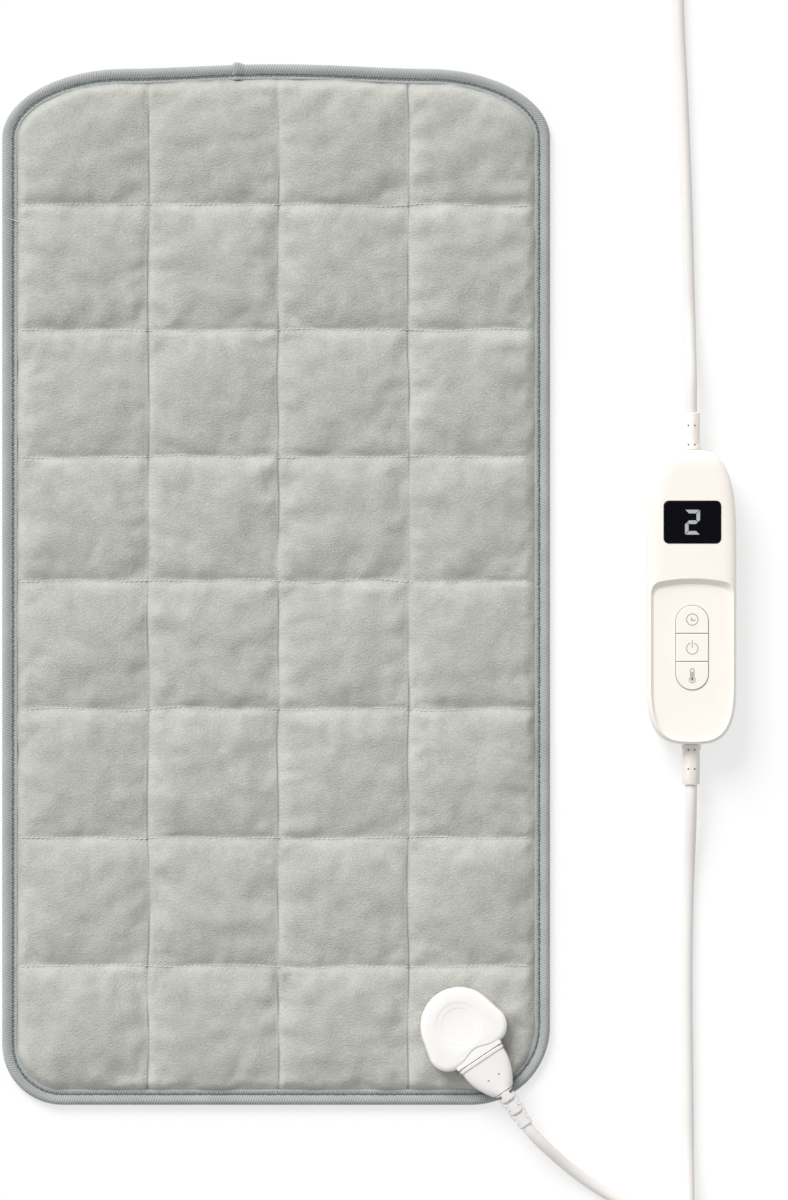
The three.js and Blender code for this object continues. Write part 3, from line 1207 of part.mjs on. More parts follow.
function mainsPlug() {
  const group = new THREE.Group();
  const axis = MAINS_PLUG_HEIGHT / 2 + REST_GAP;
  group.position.set(MAINS_PLUG_X, MAINS_PLUG_Y, 0);
  group.rotation.z = MAINS_PLUG_TURN;
  const face = MAINS_PLUG_RELIEF + MAINS_PLUG_BODY;
  const tail = CORD + 2 * MAINS_RELIEF_WALL;
  const front = (along, edge) => (
    section(along, MAINS_PLUG_WIDTH - 2 * edge, MAINS_PLUG_HEIGHT - 2 * edge, MAINS_PLUG_POWER, axis)
  );
  const shoulder = MAINS_PLUG_RELIEF + MAINS_PLUG_SHOULDER;
  const body = loft([
    section(0, tail, tail, 2, axis),
    section(MAINS_PLUG_RELIEF - MAINS_RELIEF_FLARE, MAINS_RELIEF_ROOT, MAINS_RELIEF_ROOT, 2, axis),
    section(MAINS_PLUG_RELIEF, MAINS_PLUG_BACK_WIDTH, MAINS_PLUG_BACK_HEIGHT, MAINS_PLUG_BACK_POWER, axis),
    section(shoulder, MAINS_PLUG_SHOULDER_WIDTH, MAINS_PLUG_HEIGHT, MAINS_PLUG_POWER, axis),
    front(face - MAINS_PLUG_WAIST, 0), front(face - MAINS_PLUG_EDGE, 0), front(face, MAINS_PLUG_EDGE),
  ]);
  const places = [-1, 1].map((side) => (side * MAINS_PIN_SPACING) / 2);
  const rootEnd = face - MAINS_PIN_ROOT;
  const hole = MAINS_PIN / 2 + GAP;
  const holes = places.map((y) => moved(revolve(
    [[rootEnd - GAP, 0], [rootEnd - GAP, hole], [face + OVERCUT, hole], [face + OVERCUT, 0]],
    SMALL_ROUND, ALONG_X,
  ), 0, y, axis));
  add(group, 'mains_plug_body', cut(body, ...holes), white);
  places.forEach((y, i) => {
    const tip = face + MAINS_PIN_LENGTH;
    const radius = MAINS_PIN / 2;
    const pin = revolve([
      [rootEnd, 0], [rootEnd, radius], [tip - radius / 2, radius], [tip, radius / 2], [tip, 0],
    ], SMALL_ROUND, ALONG_X);
    add(group, `mains_plug_pin_${i + 1}`, moved(pin, 0, y, axis), brass);
  });
  return { group, axis };
}

// Pad and connector
part.add(padPieces());
socketPieces(connector);
const reliefEnd = plugPieces(connector);
part.add(connector);

// Controller
const controller = new THREE.Group();
controller.position.set(CONTROLLER_X, CONTROLLER_Y, 0);
casePieces(controller);
keyPieces(controller);
boardPieces(controller);
sleevePieces(controller);
part.add(controller);

// Leads: from the connector to the controller, and from the controller to the mains plug
const padCoil = coilPieces('pad_lead', PAD_COIL);
const mainsCoil = coilPieces('mains_lead', MAINS_COIL);
const plug = mainsPlug();
part.add(plug.group);

function connectorPoint(along) {
  return new THREE.Vector3(along, 0, plugAxis).applyMatrix4(connector.matrix).toArray();
}

// A point past the end of a route, straight on from the point before that end.
function pastEnd(end, before, distance) {
  return end.clone().add(end.clone().sub(before).setLength(distance)).toArray();
}
const sleeveTop = CONTROLLER_Y + caseTop + SLEEVE_TOP_LENGTH + GAP;
const sleeveBottom = CONTROLLER_Y + caseBottom - SLEEVE_BOTTOM_LENGTH - GAP;
const plugTail = new THREE.Vector3(MAINS_PLUG_X, MAINS_PLUG_Y, plug.axis);
const plugAhead = new THREE.Vector3(Math.cos(MAINS_PLUG_TURN), Math.sin(MAINS_PLUG_TURN), 0).add(plugTail);

add(part, 'pad_lead_from_connector', lead([
  connectorPoint(reliefEnd + GAP), connectorPoint(reliefEnd + CORD / 2),
  [146.4, -306.3, 11.6], [152.7, -312.2, 9.2], [159.7, -318.4, 6.6], [168.5, -325.2, 4.4],
  [177.5, -331.3, 3.4], [186.7, -336.9, CORD_REST], [198, -343.2, CORD_REST], [211, -348.8, CORD_REST],
  [225, -352.9, CORD_REST], [240, -355.5, 3.9],
  pastEnd(padCoil[0], padCoil[1], CORD), pastEnd(padCoil[0], padCoil[1], GAP),
]), cordGrey);
add(part, 'pad_lead_to_controller', lead([
  pastEnd(padCoil.at(-1), padCoil.at(-2), GAP), pastEnd(padCoil.at(-1), padCoil.at(-2), CORD),
  [226, -365, 11.2], [226, -352, 10.7], [225.9, -338, 8.8], [225.8, -322, 5.6], [225.7, -306, 3.6],
  [225.6, -290, CORD_REST], [225.4, -265, CORD_REST], [225.1, -240, CORD_REST], [225, -215, CORD_REST],
  [225.2, -190, CORD_REST], [225.7, -168, 3.5], [226.3, -150, 5], [226.8, -134, 8.2], [227, -122, 10.4],
  [CONTROLLER_X, sleeveBottom - CORD, CASE_SPLIT], [CONTROLLER_X, sleeveBottom, CASE_SPLIT],
]), cordGrey);
add(part, 'mains_lead', lead([
  [CONTROLLER_X, sleeveTop, CASE_SPLIT], [CONTROLLER_X, sleeveTop + CORD, CASE_SPLIT],
  [227, 113, 10.2], [226.8, 130, 6.5], [226.5, 148, 3.6], [226, 165, CORD_REST], [225.4, 190, CORD_REST],
  [224.5, 220, CORD_REST], [223.3, 250, CORD_REST], [222, 280, CORD_REST], [220.7, 305, CORD_REST],
  [220, 332, CORD_REST], [220, 356, 3.7], [220, 374, 4.2],
  pastEnd(mainsCoil[0], mainsCoil[1], CORD), pastEnd(mainsCoil[0], mainsCoil[1], GAP),
]), cordGrey);
add(part, 'mains_lead_end', lead([
  pastEnd(mainsCoil.at(-1), mainsCoil.at(-2), GAP), pastEnd(mainsCoil.at(-1), mainsCoil.at(-2), CORD),
  [150, 447.5, 10], [142, 446.4, 8],
  pastEnd(plugTail, plugAhead, CORD), pastEnd(plugTail, plugAhead, GAP),
]), cordGrey);

export default part;
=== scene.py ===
"""The looks of a quilted heating pad with its hand controller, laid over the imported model."""

import json
import math

import bmesh
import bpy
import numpy as np
from mathutils import Matrix, Vector, noise


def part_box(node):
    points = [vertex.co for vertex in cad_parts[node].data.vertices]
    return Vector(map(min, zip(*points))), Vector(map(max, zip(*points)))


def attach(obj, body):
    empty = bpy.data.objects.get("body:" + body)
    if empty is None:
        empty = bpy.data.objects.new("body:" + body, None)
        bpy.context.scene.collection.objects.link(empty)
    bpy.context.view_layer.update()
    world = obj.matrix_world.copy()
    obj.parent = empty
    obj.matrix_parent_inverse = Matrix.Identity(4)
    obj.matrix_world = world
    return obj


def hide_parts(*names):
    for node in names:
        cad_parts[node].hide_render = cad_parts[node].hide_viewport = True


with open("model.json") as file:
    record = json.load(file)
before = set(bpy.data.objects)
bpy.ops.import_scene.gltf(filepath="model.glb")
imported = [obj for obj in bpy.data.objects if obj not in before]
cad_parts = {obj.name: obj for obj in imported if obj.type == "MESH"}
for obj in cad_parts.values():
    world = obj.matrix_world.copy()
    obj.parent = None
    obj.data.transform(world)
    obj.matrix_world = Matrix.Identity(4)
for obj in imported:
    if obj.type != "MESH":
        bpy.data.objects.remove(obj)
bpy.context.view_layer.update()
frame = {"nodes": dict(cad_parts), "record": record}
nodes = frame["nodes"]

MM = 0.001  # the sizes below are millimetres

# Photograph
PHOTO_WIDTH = 788
PHOTO_HEIGHT = 1200
PAD_WIDTH_PIXELS = 548
PAD_MIDDLE_PIXEL = (276, 584.5)
CAMERA_HEIGHT = 3200
SENSOR = 36

# Floor and light
FLOOR_HALF = 6000
FLOOR_DROP = 0.02
FLOOR_WHITE = 0.65  # how far the floor's shadows are lightened where the camera sees them
KEY_TOWARD = (-0.5, 0.85, 0.75)  # from the pad to the light
KEY_SPREAD = math.radians(30)
KEY_STRENGTH = 2.9
WORLD_STRENGTH = 0.49

# Pad
pad_low, pad_high = (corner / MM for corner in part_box("pad_binding"))
PAD_WIDTH = pad_high.x - pad_low.x
PAD_LENGTH = -2 * pad_low.y
PAD_TOP_BOW = 2.5  # the upper edge falls by this to its corners
CORNER_TOP_ACROSS = 68
CORNER_TOP_ALONG = 38
CORNER_BOTTOM_LEFT = 33
CORNER_BOTTOM_RIGHT = 43
COLUMN_SEAMS = (-70.1, 1.1, 72.3)
ROW_SEAMS = (-208.8, -138.8, -68.1, 1.9, 69.8, 139.3, 207.7)
COLUMN_SEAM_HEIGHT = 5.6
ROW_SEAM_HEIGHT = 6.0
SEAM_WANDER = 2
SEAM_WAVE = 34
SEAM_SHADE = 0.92  # how dark the painted shade is along the columns' seams, and how much that varies
SEAM_SHADE_CHANGE = 0.4
SEAM_SHADE_POWER = 5  # narrows the painted shade along a seam
# painted shade along the rows' seams, and where the front meets the binding
ROW_SEAM_SHADE = 0.6
RIM_SHADE = 1
RIM_HEIGHT = 3.4  # the front where the binding holds it
RIM_HELD = 8  # the binding holds the front this far in
RIM_WANDER = 1.8
RIM_WAVE = 14
RIM_RISE = 4
SHEET_EDGE = 3  # the front ends this far inside the binding
QUILT_GRID = 2.4
INSET_STEPS = 6
SHORT_EDGE = 0.01  # a shorter edge of the socket's outline has no clear direction
COVER_THICK = 0.9
PILE_LOW = 4.4  # underside of the wadding
START_CROWN = 2.2  # the cells before the cloth is inflated
START_ROUGHNESS = 0.8
START_WAVE = 22
PILLOW_POWER = 2.6
BACK_PROFILE = (  # how far inside the outline, and how high
    (13.6, 0), (10.2, 0.5), (8.8, 1.4), (1.4, 1.4), (1.4, 2.4), (10.3, 2.4), (12, 1.6), (13.8, 1),
)
FELT_PROFILE = ((14.6, 1.3), (14.1, 1.5), (14.1, 1.8), (14.6, 2.0))

# Cloth: the sheet is cut larger than its cells and lightly inflated
CLOTH_FRAMES = 9
CLOTH = {
    "mass": 0.01, "air_damping": 3, "tension_stiffness": 15, "compression_stiffness": 15,
    "shear_stiffness": 5, "bending_stiffness": 2, "vertex_group_mass": "sewn",
    "vertex_group_shrink": "tight", "shrink_min": -0.03, "shrink_max": 0, "use_pressure": True,
    "uniform_pressure_force": 22,
}
TIGHT = 0.5  # how far the sheet's slack is taken up, and how much that varies
TIGHT_CHANGE = 0.9
TIGHT_WAVE = 30
RELIEF_KEPT = 0.7  # the pile evens out part of the relief
CROWN_LIMIT = 12
SHOULDER = 1.9  # the fill stands up beside each seam
SHOULDER_RUN = 3.2
PUCKER = 2.4
PUCKER_WAVE = 9
PUCKER_REACH = 13
PUCKER_ROOT = 2.5
PUCKER_STRETCH = 0.22
SOCKET_PUCKER = 2  # the creases round the socket are this many times as deep
DENT = 1.3
DENT_WAVE = 16
# painted highlight beside the seams and the rim: its strength, and how far it reaches
SEAM_HIGHLIGHT = 0.6
SEAM_HIGHLIGHT_REACH = 5
NOISE_LAYERS = {  # the height at which each use cuts the same noise
    "crown": 3.3, "rim": 8.8, "columns": 5.7, "rows": 9.1, "tight": 7.1, "shade_share": 6.4, "dents": 1.1,
    "small_dents": 1.7, "row_creases": 2.2, "column_creases": 4.4, "socket_creases": 5.1, "seam_highlight": 6.9,
}

# Binding and thread
BINDING_PROFILE = (  # how far inside the outline, how high, and how deeply ribbed
    (8.5, 0, 0), (4, 0, 0), (1.6, 0.1, 0), (0.5, 0.8, 0.5), (0, 2.2, 1), (0.1, 3.6, 1), (0.7, 4.7, 1),
    (1.8, 5.3, 1), (3, 5.3, 1), (4.2, 4.9, 1), (5.1, 4.4, 1), (5.8, 4.1, 0.6), (6.6, 4.1, 0.6),
    (7.4, 4.4, 0.6), (8.1, 4.45, 0.6), (8.5, 4.2, 0.3), (8.5, 3.95, 0), (5, 3.8, 0), (1.2, 3.8, 0),
    (1.2, 1.2, 0), (8.5, 1.1, 0),
)
BINDING_RIB = 1.4
BINDING_SLANT = 0.35
RIB_RISE = 0.2
OUTLINE_STEP = 3
BINDING_GROOVE = 18  # along the tape's fold, from its lower edge
# how wide the painted shade in the groove is, from narrow to wide
GROOVE_NARROW = 0.5
GROOVE_WIDE = 1.3
JOINT_X = -17
JOINT_LENGTH = 6.5
JOINT_RISE = 1.5
JOINT_OUTSIDE = 2  # the joint's lap swells the tape this far in, and above this height
JOINT_ABOVE = 4
STITCH_PITCH = 2.7
STITCH_LENGTH = 2.1
STITCH_RADIUS = 0.26
STITCH_SIDES = 5
STITCH_SHAPE = (  # along it in lengths, how thick it is there, and how high in radii
    (-0.5, 0.35, -1.0), (-0.3, 1, 0.2), (0.3, 1, 0.2), (0.5, 0.35, -1.0),
)
ROW_STITCH_RISE = 0.5
BINDING_STITCH_INSET = 6.2
BINDING_STITCH_HEIGHT = 4.35
LOOSE_RADIUS = 0.182
LOOSE_BEVEL_STEPS = 2
LOOSE_ENDS = {
    "thread_end_joint": (
        (-25.6, 278, 4.7), (-24, 276.8, 5.3), (-22.2, 276.4, 5.6), (-21.2, 277.2, 5.6), (-22, 278.2, 5.2),
    ),
    "thread_end_side": ((-148.6, 200.9, 4.8), (-146, 200.4, 5.7), (-143, 199.4, 5.2), (-140.6, 198.4, 5.4)),
}

# Connector: its own frame has +X along the plug's way out of the socket
CONNECTOR_X = 111.4
CONNECTOR_Y = -257.6
CONNECTOR_TURN = math.radians(-56)
SOCKET_DISC = 21.4
SOCKET_DISC_BACK = 19.6
SOCKET_LOBE = 10.5
SOCKET_LOBE_BACK = 11.7
SOCKET_LOBE_SPACING = 26.4
SOCKET_FOOT = ((1.2, 0), (0.35, 0.4), (0, 1.2))  # drawn in, and above its underside
SOCKET_CROWN = (  # drawn in, and below its top
    (0, 2.4), (0.25, 1.5), (0.75, 0.8), (1.4, 0.35), (2.1, 0.12), (2.9, 0),
)
SOCKET_BEVEL = 0.15
socket_low, socket_high = (corner.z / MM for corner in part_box("socket_cover"))
PLUG_AXIS = (socket_low + socket_high) / 2
DISH_BACK = 20.6
DISH_RADIUS = 13
DISH_FLOOR = 10
DISH_DEPTH = 0.4
DISH_LIP = 0.9
DISH_STEPS = 4
COLLAR_WIDTH = 28.6
COLLAR_HEIGHT = 10
COLLAR_CORNER = 1.2
COLLAR_ROOT = 9
LIP_BACK = 2
LIP_WAVE = 3.7
LIP_WAVE_WIDTH = 8.5
LIP_STEPS = 32
THROAT_DEPTH = 16
THROAT_WIDTH = 21
THROAT_HEIGHT = 6
THROAT_CORNER = 1.7
PLUG_MATE_GAP = 0.4
PLUG_LENGTH = 22.5
PLUG_LIP = 2.4
PLUG_WIDTH = 28
PLUG_HEIGHT = 10
PLUG_NECK = 12.4
PLUG_NECK_HEIGHT = 10.4
PLUG_STEP = 0.6
PLUG_FAN_CURVE = 2.1
PLUG_FAN_STEPS = 14
PLUG_EDGE = 0.5
LIP_SQUARENESS = 6
FAN_SQUARENESS = 5.5
NECK_SQUARENESS = 2.2
UNDER_PLUG_BACK = 3  # the front stays low this far behind and beside the plug
UNDER_PLUG_SIDE = 2
NOSE_LENGTH = 14
NOSE_WIDTH = 20.4
NOSE_HEIGHT = 5.4
NOSE_CORNER = 1.4
CONTACT_PITCH = 6
CONTACT_BORE = 1.8
CONTACT_BORE_END = -1
MOULD_HOLE_ALONG = 13.6
MOULD_HOLE_SIDE = 3.35
MOULD_HOLE_RADIUS = 0.6
MOULD_HOLE_FLOOR = 3.8
RELIEF_GAP = 0.3
RELIEF_START = PLUG_MATE_GAP + PLUG_LENGTH + RELIEF_GAP
RELIEF_LENGTH = 22.4
RELIEF_ROOT = 10.2
RELIEF_ROOT_EDGE = 0.3
RELIEF_TIP = 8.2
RELIEF_TIP_EDGE = 0.6
RELIEF_CORE = 5
RELIEF_SLOT = 1.7
RELIEF_SLOTS = 5
RELIEF_SLOT_PITCH = 4.1
RELIEF_FIRST_SLOT = 1.9

# Controller: its own frame has its origin under the middle of the case
CONTROLLER_X = 227
CONTROLLER_Y = -7
CASE_WIDTH = 48.5
CASE_TOP = 80.25
CASE_BOTTOM = -CASE_TOP
CASE_HEIGHT = 25
CASE_SPLIT = 11
CASE_SPLIT_GAP = 0.15
CASE_WALL = 2.2
CASE_UPPER_END = 58
CASE_LOWER_END = 36.6
CASE_END_POWER = 3.1
CASE_TOP_ROLL = 13
CASE_TOP_DROP = 8
CASE_FOOT_ROLL = 3
TRAY_FLOOR = 22
TRAY_MARGIN = 3.1
TRAY_TOP = 7.45
TRAY_BOW = 3
TRAY_CORNER = 5
TRAY_CORNER_STEPS = 8
TRAY_EDGE_STEPS = 23
TRAY_WALL_RUN = 2.8
TRAY_FOOT = (0, 0.05, 0.12, 0.22, 0.35)  # shares of the wall's run over which its foot curves up
TRAY_FOOT_CURVE = 1.4
TRAY_FOOT_BACK = 0.5
KEY_BANK_WIDTH = 17.7
KEY_BANK_TOP = -4.45
KEY_BANK_LENGTH = 46
KEY_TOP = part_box("timer_key")[1].z / MM
LENS_WIDTH = 31
LENS_LENGTH = 23
LENS_CORNER = 2.7
LENS_Y = 40.85
LENS_TOP = 25.3
LENS_THICK = 1.4
LENS_LEDGE = 2
LENS_EDGE = 0.9
LENS_EDGE_DROP = 0.5
LENS_EDGE_STEPS = 6
DIGIT_WIDTH = 8.2
DIGIT_HEIGHT = 13.5
DIGIT_STROKE = 1.95
DIGIT_GAP = 0.25
ICON_RADIUS = 3.1
ICON_STROKE = 0.55
HAND_STROKE = 0.7
CLOCK_HANDS = ((-0.4, 1.1), (-0.4, -0.4), (1.7, -0.4))
SWITCH_DROP = 0.4
SWITCH_OPENING = 22  # to each side of straight up, in degrees
SWITCH_BAR = 4
BULB = 1.65
BULB_DROP = 2.1
BULB_FILL = 0.85
STEM = 0.95
STEM_TOP = 3
COLUMN = (-2, 2.2)
ICON_STEPS = 40
ICON_TURN = 351  # in degrees; a stroke closes the ring
MITRE_LIMIT = 0.4  # keeps a stroke's sharp corners short
PRINT_RISE = 0.03
BOSS_PLACES = ((-13, 58.25), (13, 58.25), (-13, -62.25), (13, -62.25))
BOSS_RADIUS = 4.2
BOSS_COVER = 1  # the upper bosses end this far below the case's face
SCREW_HOLE = 1.55
SCREW_HEAD_HOLE = 2.9
SCREW_HEAD_DEPTH = 3.3
SCREW_GRIP = 6.3
SLEEVE_DIAMETER = 9.4
SLEEVE_NECK = 6.8
SLEEVE_FLANGE = 10.4
SLEEVE_FLANGE_ENDS = (-5, -3)
SLEEVE_COLLAR = 0.5
SLEEVE_COLLAR_END = 2.6
SLEEVE_TIP_ROLL = ((0.7, 0), (0.2, 0.25), (0, 0.7))  # back from the tip, and drawn in
SLEEVE_HOLE = 1
SLEEVE_HOLE_SIDE = 1.75
SLEEVE_HOLE_FLOOR = 1.9
SLEEVE_HOLE_STEPS = (3, 13.5)
SLEEVE_TOP_LENGTH = 20.7
SLEEVE_BOTTOM_LENGTH = 22
SLEEVE_BEVEL = 0.12

# Leads: a place without a height lies on the surface
CORD = 6.4
CORD_REST = 3.3
CORD_BEVEL_STEPS = 5
COIL_LOW = 4.4  # the axis of a coil's lower layer
COIL_LAYER = 7
COIL_PITCH = 7.1
COIL_ROUNDING = 0.05
COIL_CLIMB = 0.5
COIL_STEPS = 48
ROUTE_STEP = 3
END_GAP = 0.3
MAINS_COIL = {"x": 172, "y": 400, "start": 0, "turns": 6.25, "way": 1, "outer": 48}
PAD_COIL = {"x": 263, "y": -393, "start": 90, "turns": 1.75, "way": -1, "outer": 37}
MAINS_PLUG = (128, 442, 6.95)
MAINS_PLUG_TURN = math.radians(200)
PAD_LEAD_OUT = (
    (146.4, -306.3, 11.6), (152.7, -312.2, 9.2), (159.7, -318.4, 6.6), (168.5, -325.2, 4.4),
    (177.5, -331.3, 3.4), (186.7, -336.9), (198, -343.2), (211, -348.8), (225, -352.9), (240, -355.5, 3.9),
)
PAD_LEAD_BACK = (
    (226, -365, 11.2), (226, -352, 10.7), (225.9, -338, 8.8), (225.8, -322, 5.6), (225.7, -306, 3.6),
    (225.6, -290), (225.4, -265), (225.1, -240), (225, -215), (225.2, -190), (225.7, -168, 3.5),
    (226.3, -150, 5), (226.8, -134, 8.2), (227, -122, 10.4),
)
MAINS_LEAD_OUT = (
    (227, 113, 10.2), (226.8, 130, 6.5), (226.5, 148, 3.6), (226, 165), (225.4, 190), (224.5, 220),
    (223.3, 250), (222, 280), (220.7, 305), (220, 332), (220, 356, 3.7), (220, 374, 4.2),
)
MAINS_LEAD_END = ((150, 447.5, 10), (142, 446.4, 8))

# Shapes
OVER = 1  # how far a cutter reaches past the face that it opens
BEVEL = 0.25
BEVEL_STEPS = 2
WELD = 0.002
SHARP_ANGLE = math.radians(32)
ROUND = 96  # sides of a large round shape, and of the smaller ones
SLEEVE_ROUND = 64
RELIEF_ROUND = 48
ROD_ROUND = 32
BORE_ROUND = 24
HOLE_ROUND = 16
ALONG_X = Matrix.Rotation(math.pi / 2, 4, "Y")
ALONG_Y = Matrix.Rotation(-math.pi / 2, 4, "X")
CONNECTOR = Matrix.Translation((CONNECTOR_X, CONNECTOR_Y, 0)) @ Matrix.Rotation(CONNECTOR_TURN, 4, "Z")
CONTROLLER = Matrix.Translation((CONTROLLER_X, CONTROLLER_Y, 0))

# Colours, in picture values
# the plush's third colour is painted shade, laid down the seams and along the rim
PLUSH_SHADE, PLUSH_LIGHT, PLUSH_SEAM_SHADE = (161, 162, 156), (201, 201, 194), (120, 128, 128)
# the tape's third colour is painted shade in its groove
TAPE_DARK, TAPE_LIGHT, TAPE_GROOVE_SHADE = (134, 139, 138), (200, 203, 200), (104, 112, 114)
THREAD, BINDING_THREAD = (238, 239, 235), (150, 156, 157)
FELT_DARK, FELT_LIGHT = (214, 208, 198), (238, 235, 228)
LENS_DARK, LENS_LIGHT = (4, 5, 12), (8, 9, 16)
DIGIT_DARK, DIGIT_LIGHT = (150, 151, 153), (168, 169, 170)
BOARD_GREEN, BOARD_LINES = (34, 92, 60), (70, 128, 84)
BRASS, STEEL = (210, 176, 104), (190, 192, 194)
FLOOR_DARK, FLOOR_LIGHT = (250, 250, 250), (252, 252, 252)
CREAM = (252, 246, 238)
GLOSS_DRIFT = 0.06
METAL_GLOSS_DRIFT = 0.08
MOULDED = {  # colour, roughness, and the depth of the grain
    "heating_wire": ((216, 200, 164), 0.5, 0.05),
    "connector_white": ((250, 248, 245), 0.42, 0.05),
    "lead_white": ((240, 236, 233), 0.5, 0.08),
    "plug_white": ((244, 242, 239), 0.45, 0.05),
    "case_cream": (CREAM, 0.5, 0.06),
    "key_cream": (CREAM, 0.45, 0.06),
    "dark_plastic": ((52, 52, 55), 0.55, 0.05),
    "fuse_glass": ((222, 230, 228), 0.12, 0.01),
    "component_red": ((172, 78, 62), 0.35, 0.05),
    "plug_tint": ((239, 236, 235), 0.48, 0.05),
    "sleeve_tint": ((246, 241, 234), 0.5, 0.08),
    "print_grey": ((180, 176, 172), 0.6, 0.05),
}


# Finishes
def srgb(red, green, blue):
    """A colour given in picture values, as linear light."""
    shares = (red / 255, green / 255, blue / 255)
    linear = [s / 12.92 if s <= 0.04045 else ((s + 0.055) / 1.055) ** 2.4 for s in shares]
    return (*linear, 1)


def dimmed(colour, share):
    return tuple(c * share for c in colour)


class Finish:
    """A material's node tree, with short calls for the nodes that the finishes share."""

    def __init__(self, name, **sockets):
        self.material = bpy.data.materials.new(name)
        self.material.use_nodes = True
        self.tree = self.material.node_tree
        self.shader = self.tree.nodes["Principled BSDF"]
        for socket, value in sockets.items():
            self.feed(socket.replace("_", " "), value)

    def put(self, socket, value):
        """Links another node's output to an input, or sets the input's own value."""
        if isinstance(value, bpy.types.NodeSocket):
            self.tree.links.new(value, socket)
        else:
            socket.default_value = value

    def feed(self, socket, value):
        self.put(self.shader.inputs[socket], value)

    def node(self, kind, output, inputs, **settings):
        """Adds a node, feeds its inputs with values or sockets, and returns one of its outputs."""
        made = self.tree.nodes.new("ShaderNode" + kind)
        for key, value in settings.items():
            setattr(made, key, value)
        for socket, value in inputs.items():
            self.put(made.inputs[socket], value)
        return made.outputs[output]

    def place(self, stretch=(1, 1, 1), source="Object"):
        where = self.node("TexCoord", source, {})
        return self.node("Mapping", 0, {"Vector": where, "Scale": stretch})

    def noise(self, where, scale, detail=2.0, roughness=0.5):
        inputs = {"Vector": where, "Scale": scale, "Detail": detail, "Roughness": roughness}
        return self.node("TexNoise", 0, inputs)

    def patches(self, where, scale, detail=2.0, roughness=0.5, low=0.3):
        """A noise whose middle values fill the range from 0 to 1."""
        return self.spread(self.noise(where, scale, detail, roughness), low, 1 - low)

    def maths(self, operation, first, second=0.0):
        return self.node("Math", 0, {0: first, 1: second}, operation=operation)

    def blend(self, *shared):
        """A weighted sum of (value, weight) pairs."""
        total = 0.0
        for value, weight in shared:
            total = self.maths("ADD", self.maths("MULTIPLY", value, weight), total)
        return total

    def spread(self, value, low, high, to_low=0.0, to_high=1.0):
        inputs = {"Value": value, "From Min": low, "From Max": high, "To Min": to_low, "To Max": to_high}
        return self.node("MapRange", 0, inputs)

    def mix(self, share, low, high):
        """A mix of two colours, each a socket or a colour in picture values."""
        low, high = (c if isinstance(c, bpy.types.NodeSocket) else srgb(*c) for c in (low, high))
        return self.node("Mix", 2, {0: share, 6: low, 7: high}, data_type="RGBA")

    def relief(self, height, distance, strength=1.0):
        inputs = {"Height": height, "Distance": distance * MM, "Strength": strength}
        self.feed("Normal", self.node("Bump", 0, inputs))


def plush_finish():
    """Short pile lying in patches over the cross lines of its knitted ground, with painted shade down the
    seams and painted highlight beside them.
    """
    finish = Finish("plush", Roughness=0.95, Sheen_Weight=0.3, Sheen_Roughness=0.5)
    where = finish.place()
    patches = finish.patches(where, scale=38, detail=3, roughness=0.6)
    clumps = finish.patches(where, scale=130, roughness=0.6)
    lines = finish.patches(finish.place(stretch=(700, 1500, 700)), scale=1)
    pile = finish.patches(where, scale=1100, roughness=0.6, low=0.35)
    # the attributes carry painted highlight beside the seams and painted shade down them
    seam_highlight, seam = (finish.node("Attribute", "Fac", {}, attribute_name=name) for name in ("seam_highlight", "seam"))
    tone = finish.blend((patches, 0.2), (clumps, 0.24), (lines, 0.2), (pile, 0.36), (seam_highlight, 0.6))
    colour = finish.mix(tone, PLUSH_SHADE, PLUSH_LIGHT)
    # painted shade, narrowed, darkens the plush down the seams and along the rim
    seam_shade = finish.maths("POWER", seam, SEAM_SHADE_POWER)
    finish.feed("Base Color", finish.mix(seam_shade, colour, PLUSH_SEAM_SHADE))
    finish.relief(finish.blend((lines, 0.35), (pile, 0.65)), distance=0.4, strength=0.7)
    return finish.material


def tape_finish():
    """Knitted tape with a rib across it every BINDING_RIB, painted lighter on each rib's crest and darker
    between as light and shade, and with painted shade in the groove that its stitches pull.
    """
    finish = Finish("binding_tape", Roughness=0.9, Sheen_Weight=0.25)
    mapped, where = finish.place(source="UV"), finish.place()
    along, across = (finish.node("SeparateXYZ", axis, {0: mapped}) for axis in range(2))
    # painted light and shade: the tone is lighter on each rib's crest and darker in the trough between
    rib_shading = finish.spread(finish.maths("COSINE", finish.maths("MULTIPLY", along, 2 * math.pi)), -1, 1)
    fuzz = finish.patches(where, scale=1800)
    tone = finish.blend((rib_shading, 0.6), (fuzz, 0.22), (finish.patches(where, scale=60), 0.18))
    # painted shade in the groove that the stitches pull
    from_groove = finish.maths("ABSOLUTE", finish.maths("SUBTRACT", across, BINDING_GROOVE * MM))
    ragged = finish.noise(where, scale=500)
    width = finish.spread(ragged, 0.3, 0.7, to_low=GROOVE_NARROW * MM, to_high=GROOVE_WIDE * MM)
    groove_shade = finish.spread(finish.maths("DIVIDE", from_groove, width), 0.4, 1, to_low=1, to_high=0)
    finish.feed("Base Color", finish.mix(groove_shade, finish.mix(tone, TAPE_DARK, TAPE_LIGHT), TAPE_GROOVE_SHADE))
    finish.relief(fuzz, distance=0.15)
    return finish.material


def moulded_finish(name, colour, roughness, depth):
    """Moulded plastic: a fine spark-worn grain, and a slight drift in tone and gloss."""
    finish = Finish(name)
    where = finish.place()
    grain = finish.noise(where, scale=3200, roughness=0.6)
    finish.feed("Base Color", finish.mix(finish.noise(where, scale=45), dimmed(colour, 0.975), colour))
    glossy, matt = roughness - GLOSS_DRIFT, roughness + GLOSS_DRIFT
    finish.feed("Roughness", finish.spread(grain, 0.2, 0.8, to_low=glossy, to_high=matt))
    finish.relief(grain, depth)
    return finish.material


